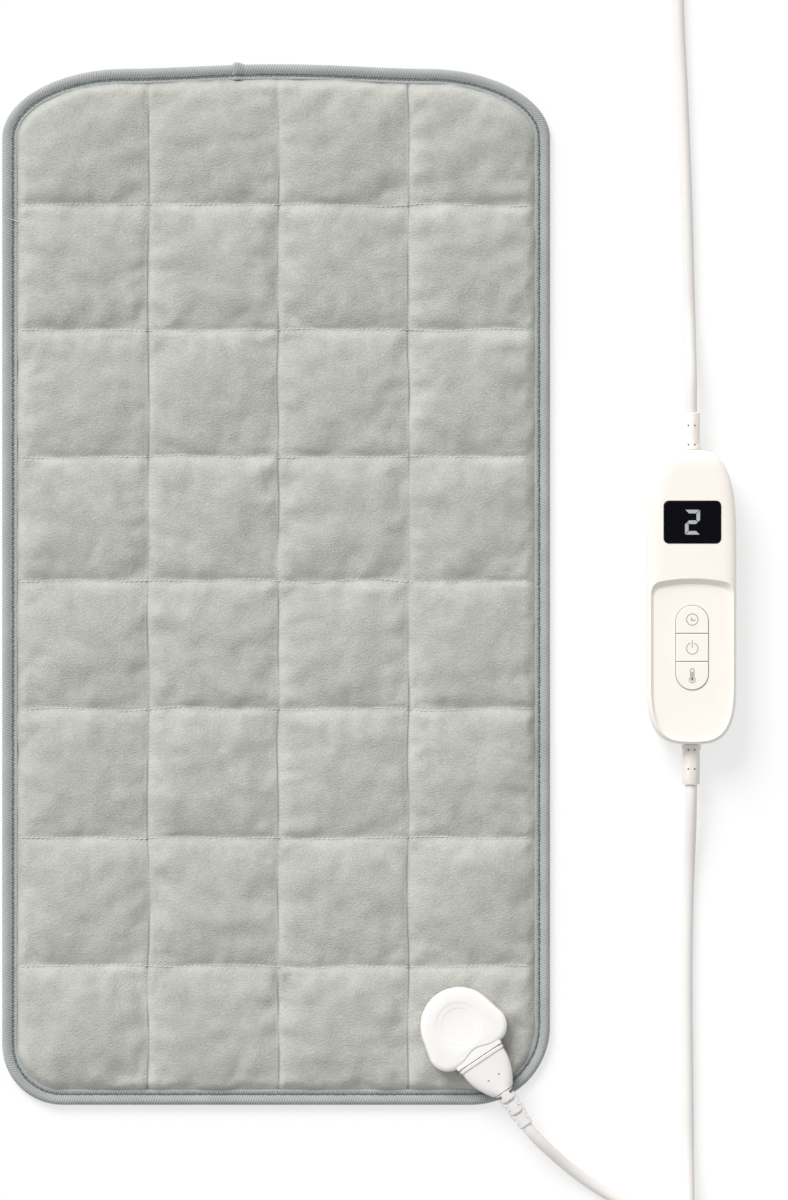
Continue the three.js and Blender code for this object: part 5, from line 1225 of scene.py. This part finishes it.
def stitched(name, routes, finish):
    """One mesh of short arched stitches along routes."""
    points, faces = [], []
    turns = arc(0, 0, STITCH_RADIUS, 0, 2 * math.pi * (1 - 1 / STITCH_SIDES), STITCH_SIDES - 1)
    for route in map(resampled, routes):
        for here, ahead in zip(route, route[1:]):
            here, ahead = Vector(here), Vector(ahead)
            way = (ahead - here).normalized()
            side = way.cross(Vector((0, 0, 1))).normalized()
            up = side.cross(way)
            rings = []
            for along, swell, lift in STITCH_SHAPE:
                middle = (here + ahead) / 2 + way * along * STITCH_LENGTH + up * lift * STITCH_RADIUS
                rings.append([middle + (side * c + up * s) * swell for c, s in turns])
            stitch, skin = loft(rings)
            faces += [tuple(len(points) + v for v in face) for face in skin]
            points += stitch
    piece(name, (points, faces), "pad", finish=finish)


def make_stitching(places, exists):
    def seam(cells, there, rise):
        x, y = cells[:, 0], cells[:, 1]
        inside = (pad_inset(x, y) > RIM_HELD + STITCH_RADIUS) & (past_socket(x, y) > STITCH_LENGTH)
        return cells[there & inside] + np.array([0, 0, rise])

    rows = [np.argmin(np.abs(places[:, 0, 1] - y)) for y in ROW_SEAMS]
    columns = [np.argmin(np.abs(places[0, :, 0] - x)) for x in COLUMN_SEAMS]
    seams = [seam(places[row], exists[row], ROW_STITCH_RISE) for row in rows]
    stitched("row_stitches", seams, "quilt_thread")
    # the columns' stitches take the darker grey thread as painted shade, for the slits that they sit in
    seams = [seam(places[:, column], exists[:, column], 0) for column in columns]
    stitched("column_stitches", seams, "binding_thread")
    rim = at_height(closed(pad_outline(BINDING_STITCH_INSET)), BINDING_STITCH_HEIGHT)
    stitched("binding_stitches", [rim], "binding_thread")


front_grid, front_exists, front_shares = front_places()
make_front(front_grid, front_exists, front_shares)
make_wadding(front_grid, front_exists)
make_layer("pad_back", BACK_PROFILE, "plush", "pad_back_cover")
make_layer("element_felt", FELT_PROFILE, "felt", "element_carrier")
make_binding()
make_stitching(front_grid, front_exists)
for thread, route in LOOSE_ENDS.items():
    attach(tube(thread, "NURBS", route, LOOSE_RADIUS, LOOSE_BEVEL_STEPS, "quilt_thread"), "pad")


# Connector
def plug_section(along, width, height, squareness, sides=64):
    """A section across +X at the plug's axis."""
    angles = np.linspace(0, 2 * math.pi, sides, endpoint=False)
    outline = squared_arc(width / 2, height / 2, squareness, angles)
    return [(along, across, PLUG_AXIS + up) for across, up in outline]


def lip_outline():
    """What is stepped down above the collar: its back edge runs in a wave across the cover's top."""
    half = COLLAR_WIDTH / 2
    across = np.linspace(-half, half, LIP_STEPS + 1)
    back = [(-LIP_BACK - LIP_WAVE * math.exp(-((w / LIP_WAVE_WIDTH) ** 2)), w) for w in across]
    return [*back, (OVER, half), (OVER, -half)]


def make_socket():
    """The cover: a lobed dome with a dish, and a collar that takes the plug."""
    steps = [(inset, socket_low + rise) for inset, rise in SOCKET_FOOT]
    steps += [(inset, socket_high - fall) for inset, fall in SOCKET_CROWN]
    body = loft([at_height(socket_outline(inset), z) for inset, z in steps])
    cover = piece("socket_shell", moved(body, CONNECTOR), "pad", "connector_white")
    combine(cover, "UNION", [bar(-COLLAR_ROOT, 0, COLLAR_WIDTH, COLLAR_HEIGHT, COLLAR_CORNER)], CONNECTOR)
    sweep = []
    for step, radius in enumerate((DISH_FLOOR, DISH_RADIUS)):
        for share in np.linspace(0, 1, DISH_STEPS + 1):
            rise = DISH_DEPTH / 2 * (step + smooth(share))
            sweep.append((socket_high - DISH_DEPTH + rise, radius + DISH_LIP * (share - 1)))
    dish = lathe([*sweep, (socket_high + OVER, DISH_RADIUS)], shift=(-DISH_BACK, 0, 0))
    lip = prism(lip_outline(), PLUG_AXIS + COLLAR_HEIGHT / 2, socket_high + OVER)
    throat = bar(-THROAT_DEPTH, OVER, THROAT_WIDTH, THROAT_HEIGHT, THROAT_CORNER)
    combine(cover, "DIFFERENCE", [dish, lip, throat], CONNECTOR)
    crisp(cover, SOCKET_BEVEL)
    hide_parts("socket_cover")


def make_plug():
    """A shell with a lip that fans in to its neck, and a nose with a bore for each contact."""
    lip_end, end = PLUG_MATE_GAP + PLUG_LIP, PLUG_MATE_GAP + PLUG_LENGTH
    edges = ((PLUG_MATE_GAP, PLUG_EDGE), (PLUG_MATE_GAP + PLUG_EDGE, 0), (lip_end - PLUG_EDGE, 0))
    rings = [
        plug_section(along, PLUG_WIDTH - 2 * inset, PLUG_HEIGHT - 2 * inset, LIP_SQUARENESS)
        for along, inset in edges
    ]
    for share in np.linspace(0, 1, PLUG_FAN_STEPS + 1):
        width = PLUG_NECK + (PLUG_WIDTH - 2 * PLUG_STEP - PLUG_NECK) * (1 - share**PLUG_FAN_CURVE)
        height = PLUG_HEIGHT - 2 * PLUG_STEP + (PLUG_NECK_HEIGHT - PLUG_HEIGHT + 2 * PLUG_STEP) * share
        squareness = FAN_SQUARENESS + (NECK_SQUARENESS - FAN_SQUARENESS) * share
        rings.append(plug_section(lip_end + share * (end - lip_end), width, height, squareness))
    plug = piece("plug_shell", moved(loft(rings), CONNECTOR), "control_set", "connector_white", "plug_tint")
    combine(plug, "UNION", [bar(-NOSE_LENGTH, lip_end / 2, NOSE_WIDTH, NOSE_HEIGHT, NOSE_CORNER)], CONNECTOR)
    bore = [(-2 * NOSE_LENGTH, CONTACT_BORE), (CONTACT_BORE_END, CONTACT_BORE)]
    cuts = [lathe(bore, BORE_ROUND, ALONG_X, (0, i * CONTACT_PITCH, PLUG_AXIS)) for i in (-1, 0, 1)]
    low, high = PLUG_AXIS + MOULD_HOLE_FLOOR, PLUG_AXIS + PLUG_HEIGHT
    for side in (-1, 1):
        place = (MOULD_HOLE_ALONG, side * MOULD_HOLE_SIDE)
        cuts.append(rod(MOULD_HOLE_RADIUS, low, high, *place, HOLE_ROUND))
    combine(plug, "DIFFERENCE", cuts, CONNECTOR)
    crisp(plug)
    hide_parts("connector_plug_body")


def make_relief():
    """A tapered strain relief with pairs of slots, by turns at its sides and above and below."""
    root, tip, end = RELIEF_ROOT / 2, RELIEF_TIP / 2, RELIEF_START + RELIEF_LENGTH
    profile = [
        (RELIEF_START, root - RELIEF_ROOT_EDGE), (RELIEF_START + RELIEF_ROOT_EDGE, root),
        (end - RELIEF_TIP_EDGE, tip), (end, tip - RELIEF_TIP_EDGE),
    ]
    body = lathe(profile, RELIEF_ROUND, ALONG_X, (0, 0, PLUG_AXIS))
    relief = piece("plug_relief", moved(body, CONNECTOR), "control_set", "lead_white", "plug_tint")
    slots = []
    near, far = RELIEF_CORE / 2, RELIEF_ROOT
    for place in range(RELIEF_SLOTS):
        along = RELIEF_START + RELIEF_FIRST_SLOT + place * RELIEF_SLOT_PITCH
        start, stop = along - RELIEF_SLOT / 2, along + RELIEF_SLOT / 2
        for side in (-1, 1):
            outline = [(start, side * near), (stop, side * near), (stop, side * far), (start, side * far)]
            if place % 2 == 0:
                slots.append(prism(outline, 0, 2 * PLUG_AXIS))
            else:
                slots.append(loft([[(x, w, PLUG_AXIS + up) for x, up in outline] for w in (-far, far)]))
    combine(relief, "DIFFERENCE", slots, CONNECTOR)
    crisp(relief)
    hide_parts("connector_strain_relief")


make_socket()
make_plug()
make_relief()


# Controller
def case_outline(inset, steps=64):
    """The case's outline drawn in by `inset`: straight flanks between two rounded ends."""
    points = []
    angles = np.linspace(0, math.pi, steps + 1)
    for end, reach in ((1, CASE_UPPER_END), (-1, CASE_LOWER_END)):
        rounded = squared_arc(CASE_WIDTH / 2 - inset, reach - inset, CASE_END_POWER, angles)
        points += [(end * x, end * (CASE_TOP - reach + y)) for x, y in rounded]
    return points


def top_roll(wall, steps=14):
    """The upper case's rounded shoulder, from its flank to its flat top, drawn in by a wall."""
    rings = []
    for angle in np.linspace(0, math.pi / 2, steps + 1):
        inset = CASE_TOP_ROLL * (1 - math.sqrt(max(math.cos(angle), 0)))
        drop = CASE_TOP_DROP * (1 - math.sqrt(math.sin(angle)))
        rings.append(at_height(case_outline(inset + wall), CASE_HEIGHT - drop - wall))
    return rings


def foot_roll(wall, steps=6):
    """The lower case's rounded foot, from its base to its flank, drawn in by a wall."""
    rings = []
    for angle in np.linspace(0, math.pi / 2, steps + 1):
        inset = CASE_FOOT_ROLL * (1 - math.sin(angle))
        rise = CASE_FOOT_ROLL * (1 - math.cos(angle))
        rings.append(at_height(case_outline(inset + wall), rise + wall))
    return rings


def tray_outline(grow, steps=48):
    """The key panel's outline, grown outwards: the case's lower end under a bowed upper edge."""
    half = CASE_WIDTH / 2 - TRAY_MARGIN + grow
    reach = CASE_LOWER_END - TRAY_MARGIN + grow

    def top_at(x):
        return TRAY_TOP + grow - TRAY_BOW * (x / half) ** 2

    def corner(side, share):
        start, stop = top_at(half) - TRAY_CORNER, top_at(half - TRAY_CORNER)
        rest = 1 - share
        y = start * rest * rest + 2 * top_at(half) * share * rest + stop * share * share
        return side * (half - TRAY_CORNER * share * share), y

    rounded = squared_arc(half, reach, CASE_END_POWER, np.linspace(0, math.pi, steps + 1))
    shares = np.linspace(0, 1, TRAY_CORNER_STEPS + 1)
    edge = np.linspace(half - TRAY_CORNER, TRAY_CORNER - half, TRAY_EDGE_STEPS + 1)[1:-1]
    return [
        *((-x, CASE_BOTTOM + CASE_LOWER_END - y) for x, y in rounded),
        *(corner(1, share) for share in shares), *((x, top_at(x)) for x in edge),
        *(corner(-1, share) for share in shares[::-1]),
    ]


def tray_cutter(wall):
    """A hollow with a rounded foot and a sloping wall."""
    over, depth = CASE_HEIGHT + OVER, CASE_HEIGHT - TRAY_FLOOR
    rings = []
    for share in TRAY_FOOT:
        rise = depth * share * share * TRAY_FOOT_CURVE
        outline = tray_outline(wall - TRAY_FOOT_BACK + TRAY_WALL_RUN * share)
        rings.append(at_height(outline, TRAY_FLOOR - wall + rise))
    run = TRAY_WALL_RUN * (over - TRAY_FLOOR) / depth
    return loft([*rings, at_height(tray_outline(wall + run), over)])


def bank_outline(grow, steps=24):
    """The well round all three keys."""
    half = KEY_BANK_WIDTH / 2
    high, low = KEY_BANK_TOP - half, KEY_BANK_TOP - KEY_BANK_LENGTH + half
    upper = arc(0, high, half + grow, 0, math.pi, steps)
    return upper + arc(0, low, half + grow, math.pi, 2 * math.pi, steps)


def lens_outline(grow, corner=0.0):
    """The display window's outline, grown outwards; `corner` is added to its corners' radius."""
    return rounded_rectangle(LENS_WIDTH + 2 * grow, LENS_LENGTH + 2 * grow, LENS_CORNER + corner, LENS_Y)


def sleeve_notches():
    """A round opening for a sleeve's neck through each end of the case."""
    notch = [(side * 4 * CASE_WALL, SLEEVE_NECK / 2 + END_GAP) for side in (-1, 1)]
    return [lathe(notch, RELIEF_ROUND, ALONG_Y, (0, end, CASE_SPLIT)) for end in (CASE_TOP, CASE_BOTTOM)]


def boss_rods(radius, low, high, high_in_tray=None):
    """A rod at each screw boss; those under the key panel may end lower."""
    ends = [high if high_in_tray is None or y > TRAY_TOP else high_in_tray for _, y in BOSS_PLACES]
    return [rod(radius, low, end, x, y) for (x, y), end in zip(BOSS_PLACES, ends)]


def make_upper_case():
    """A shell with a key panel, a key well and a window ledge; its room keeps clear of the panel."""
    split, over = CASE_SPLIT + CASE_SPLIT_GAP, CASE_HEIGHT + OVER
    upper = loft([at_height(case_outline(0), split), *top_roll(0)])
    case = piece("case_top", moved(upper, CONTROLLER), "control_set", "case_cream")
    room = loft([at_height(case_outline(CASE_WALL), 0), *top_roll(CASE_WALL)])
    room = piece("room", moved(room, CONTROLLER), finish="case_cream")
    combine(room, "DIFFERENCE", [tray_cutter(CASE_WALL)], CONTROLLER)
    hollow = ([tuple(v.co / MM) for v in room.data.vertices], [tuple(p.vertices) for p in room.data.polygons])
    bpy.data.objects.remove(room)
    combine(case, "DIFFERENCE", [hollow], Matrix())
    combine(case, "DIFFERENCE", [
        tray_cutter(0), prism(bank_outline(END_GAP), TRAY_FLOOR - 2 * CASE_WALL, over),
        prism(lens_outline(END_GAP, END_GAP), LENS_TOP - LENS_THICK - END_GAP, over),
        prism(lens_outline(-LENS_LEDGE), CASE_HEIGHT - 2 * CASE_WALL, over),
    ], CONTROLLER)
    bosses = boss_rods(BOSS_RADIUS, split, CASE_HEIGHT - BOSS_COVER, TRAY_FLOOR - BOSS_COVER)
    combine(case, "UNION", bosses, CONTROLLER)
    holes = boss_rods(SCREW_HOLE, 0, CASE_SPLIT + SCREW_GRIP)
    combine(case, "DIFFERENCE", [*holes, *sleeve_notches()], CONTROLLER)
    crisp(case)
    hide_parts("case_upper")


def make_lower_case():
    """A tray-shaped shell with screw bosses that are open from below."""
    split = CASE_SPLIT - CASE_SPLIT_GAP
    lower = loft([*foot_roll(0), at_height(case_outline(0), split)])
    case = piece("case_base", moved(lower, CONTROLLER), "control_set", "case_cream")
    room = loft([*foot_roll(CASE_WALL), at_height(case_outline(CASE_WALL), CASE_HEIGHT)])
    combine(case, "DIFFERENCE", [room], CONTROLLER)
    combine(case, "UNION", boss_rods(BOSS_RADIUS, CASE_WALL / 2, split), CONTROLLER)
    holes = boss_rods(SCREW_HOLE, -OVER, CASE_HEIGHT) + boss_rods(SCREW_HEAD_HOLE, -OVER, SCREW_HEAD_DEPTH)
    combine(case, "DIFFERENCE", [*holes, *sleeve_notches()], CONTROLLER)
    crisp(case)
    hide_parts("case_lower")


def make_lens():
    """The display window: flat, with a pillowed edge all round."""
    rings = [at_height(lens_outline(0), LENS_TOP - LENS_THICK)]
    for angle in np.linspace(0, math.pi / 2, LENS_EDGE_STEPS + 1):
        inset = LENS_EDGE * (1 - math.cos(angle))
        drop = LENS_EDGE_DROP * (1 - math.sin(angle))
        rings.append(at_height(lens_outline(-inset, -inset), LENS_TOP - drop))
    lens = piece("display_window", moved(loft(rings), CONTROLLER), "control_set", "lens_black")
    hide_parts("display_lens")


def flat_print(name, outlines, height, finish, body):
    """Flat shapes printed on a face: each outline is filled, a little above the face."""
    points, faces = [], []
    for outline in outlines:
        faces.append(tuple(range(len(points), len(points) + len(outline))))
        points += [(x + CONTROLLER_X, y + CONTROLLER_Y, height + PRINT_RISE) for x, y in outline]
    made = piece(name, (points, faces), body, finish=finish)
    made.data.shade_flat()
    thickness = made.modifiers.new("thickness", "SOLIDIFY")
    thickness.thickness = PRINT_RISE * MM
    thickness.offset = 0


def make_digit():
    """A lit 2: five bevelled segments with thin gaps between them, alike when turned by half a turn."""
    half, top, stroke, gap = DIGIT_WIDTH / 2, DIGIT_HEIGHT / 2, DIGIT_STROKE, DIGIT_GAP
    inner, middle = half - stroke, stroke / 2
    level = [(gap - half, top), (half - gap, top), (inner - gap, top - stroke), (gap - inner, top - stroke)]
    upright = [(half, top - gap), (half, gap + middle), (half - middle, gap), (inner, middle + gap),
               (inner, top - stroke - gap)]
    centre = [(gap - half + middle, 0), (gap - inner, middle), (inner - gap, middle),
              (half - middle - gap, 0), (inner - gap, -middle), (gap - inner, -middle)]
    turned = [[(-x, -y) for x, y in segment] for segment in (level, upright)]
    segments = [[(x, LENS_Y + y) for x, y in segment] for segment in (level, upright, centre, *turned)]
    flat_print("display_digit", segments, LENS_TOP, "display_digit", "control_set")


def stroke_outlines(route, width, closed=False):
    """Quads that draw a line of some width along a route."""
    route = np.array(route, float)
    after = np.roll(route, -1, axis=0) - route
    after /= np.linalg.norm(after, axis=1, keepdims=True)
    before = np.roll(after, 1, axis=0)
    if not closed:
        after[-1], before[0] = before[-1], after[0]
    way = (before + after) / np.linalg.norm(before + after, axis=1, keepdims=True)
    reach = width / 2 / np.maximum((way * before).sum(axis=1, keepdims=True), MITRE_LIMIT)
    normal = np.stack([-way[:, 1], way[:, 0]], axis=1) * reach
    left, right = route + normal, route - normal
    pairs = [(i - 1, i) for i in range(0 if closed else 1, len(route))]
    return [[left[a], left[b], right[b], right[a]] for a, b in pairs]


def icon_arc(y, radius, start=0.0, stop=ICON_TURN):
    return arc(0, y, radius, math.radians(start), math.radians(stop), ICON_STEPS)


def make_icons():
    """A clock, a power switch and a thermometer, one on each key."""
    pitch = KEY_BANK_LENGTH / 3
    timer, power, heat = (KEY_BANK_TOP - (place + 0.5) * pitch for place in range(3))
    clock = stroke_outlines(icon_arc(timer, ICON_RADIUS), ICON_STROKE, closed=True)
    clock += stroke_outlines([(x, timer + y) for x, y in CLOCK_HANDS], HAND_STROKE)
    flat_print("timer_icon", clock, KEY_TOP, "print_grey", "timer_button")
    ring = icon_arc(power - SWITCH_DROP, ICON_RADIUS, 90 + SWITCH_OPENING, 450 - SWITCH_OPENING)
    switch = stroke_outlines(ring, ICON_STROKE)
    switch += stroke_outlines([(0, power + SWITCH_BAR), (0, power)], ICON_STROKE)
    flat_print("power_icon", switch, KEY_TOP, "print_grey", "power_button")
    opening = math.degrees(math.asin(STEM / BULB))
    glass = icon_arc(heat - BULB_DROP, BULB, 90 + opening, 450 - opening)
    glass += icon_arc(heat + STEM_TOP, STEM, 0, 180)
    scale = stroke_outlines(glass, ICON_STROKE, closed=True)
    scale += stroke_outlines([(0, heat + y) for y in COLUMN], 2 * ICON_STROKE)
    scale.append(icon_arc(heat - BULB_DROP, BULB_FILL))
    flat_print("temperature_icon", scale, KEY_TOP, "print_grey", "temperature_button")


def make_sleeve(name, node, length, end, way):
    """A moulded sleeve: flange inside the case, neck through its wall, collar and sleeve outside."""
    radius, collar = SLEEVE_DIAMETER / 2, SLEEVE_DIAMETER / 2 + SLEEVE_COLLAR
    flange, neck = SLEEVE_FLANGE / 2, SLEEVE_NECK / 2
    back, front = SLEEVE_FLANGE_ENDS
    profile = [
        (back, flange), (front, flange), (front, neck), (END_GAP, neck), (END_GAP, collar),
        (SLEEVE_COLLAR_END, collar), (SLEEVE_COLLAR_END + SLEEVE_COLLAR, radius),
        *((length - run, radius - inset) for run, inset in SLEEVE_TIP_ROLL),
    ]
    turn = ALONG_Y if way > 0 else ALONG_Y @ Matrix.Rotation(math.pi, 4, "X")
    shape = moved(lathe(profile, SLEEVE_ROUND, turn, (0, end, CASE_SPLIT)), CONTROLLER)
    sleeve = piece(name, shape, "control_set", "lead_white", "sleeve_tint")
    low, high = CASE_SPLIT + SLEEVE_HOLE_FLOOR, CASE_SPLIT + SLEEVE_DIAMETER
    holes = [
        rod(SLEEVE_HOLE / 2, low, high, side * SLEEVE_HOLE_SIDE, end + way * step, HOLE_ROUND)
        for step in SLEEVE_HOLE_STEPS for side in (-1, 1)
    ]
    combine(sleeve, "DIFFERENCE", holes, CONTROLLER)
    crisp(sleeve, SLEEVE_BEVEL)
    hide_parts(node)


make_upper_case()
make_lower_case()
make_lens()
make_digit()
make_icons()
make_sleeve("mains_sleeve", "strain_relief_mains", SLEEVE_TOP_LENGTH, CASE_TOP, 1)
make_sleeve("pad_sleeve", "strain_relief_pad", SLEEVE_BOTTOM_LENGTH, CASE_BOTTOM, -1)


# Floor, light and camera
def make_floor():
    outline = [(x * FLOOR_HALF, y * FLOOR_HALF, 0) for x, y in ((-1, -1), (1, -1), (1, 1), (-1, 1))]
    floor = piece("floor", (outline, [(0, 1, 2, 3)]), finish="floor")
    floor.location.z = -FLOOR_DROP * MM


def make_light():
    """One far soft light, and an even pale surround."""
    data = bpy.data.lights.new("key", "SUN")
    data.angle = KEY_SPREAD
    data.energy = KEY_STRENGTH
    key = add("key", data)
    key.rotation_euler = (-Vector(KEY_TOWARD)).to_track_quat("-Z", "Y").to_euler()
    world = bpy.data.worlds.new("studio")
    world.use_nodes = True
    background = world.node_tree.nodes["Background"]
    background.inputs["Color"].default_value = (1, 1, 1, 1)
    background.inputs["Strength"].default_value = WORLD_STRENGTH
    bpy.context.scene.world = world


def make_camera():
    """Looks straight down, framed as the photograph frames the pad."""
    scale = PAD_WIDTH / PAD_WIDTH_PIXELS
    x = (PHOTO_WIDTH / 2 - PAD_MIDDLE_PIXEL[0]) * scale
    y = (PAD_MIDDLE_PIXEL[1] - PHOTO_HEIGHT / 2) * scale
    data = bpy.data.cameras.new("camera")
    data.sensor_width = SENSOR
    data.lens = SENSOR * CAMERA_HEIGHT / (PHOTO_HEIGHT * scale)
    camera = add("camera", data)
    camera.location = Vector((x, y, CAMERA_HEIGHT + pad_high.z)) * MM
    bpy.context.scene.camera = camera


make_floor()
make_light()
make_camera()
bpy.context.scene.view_settings.view_transform = "Standard"
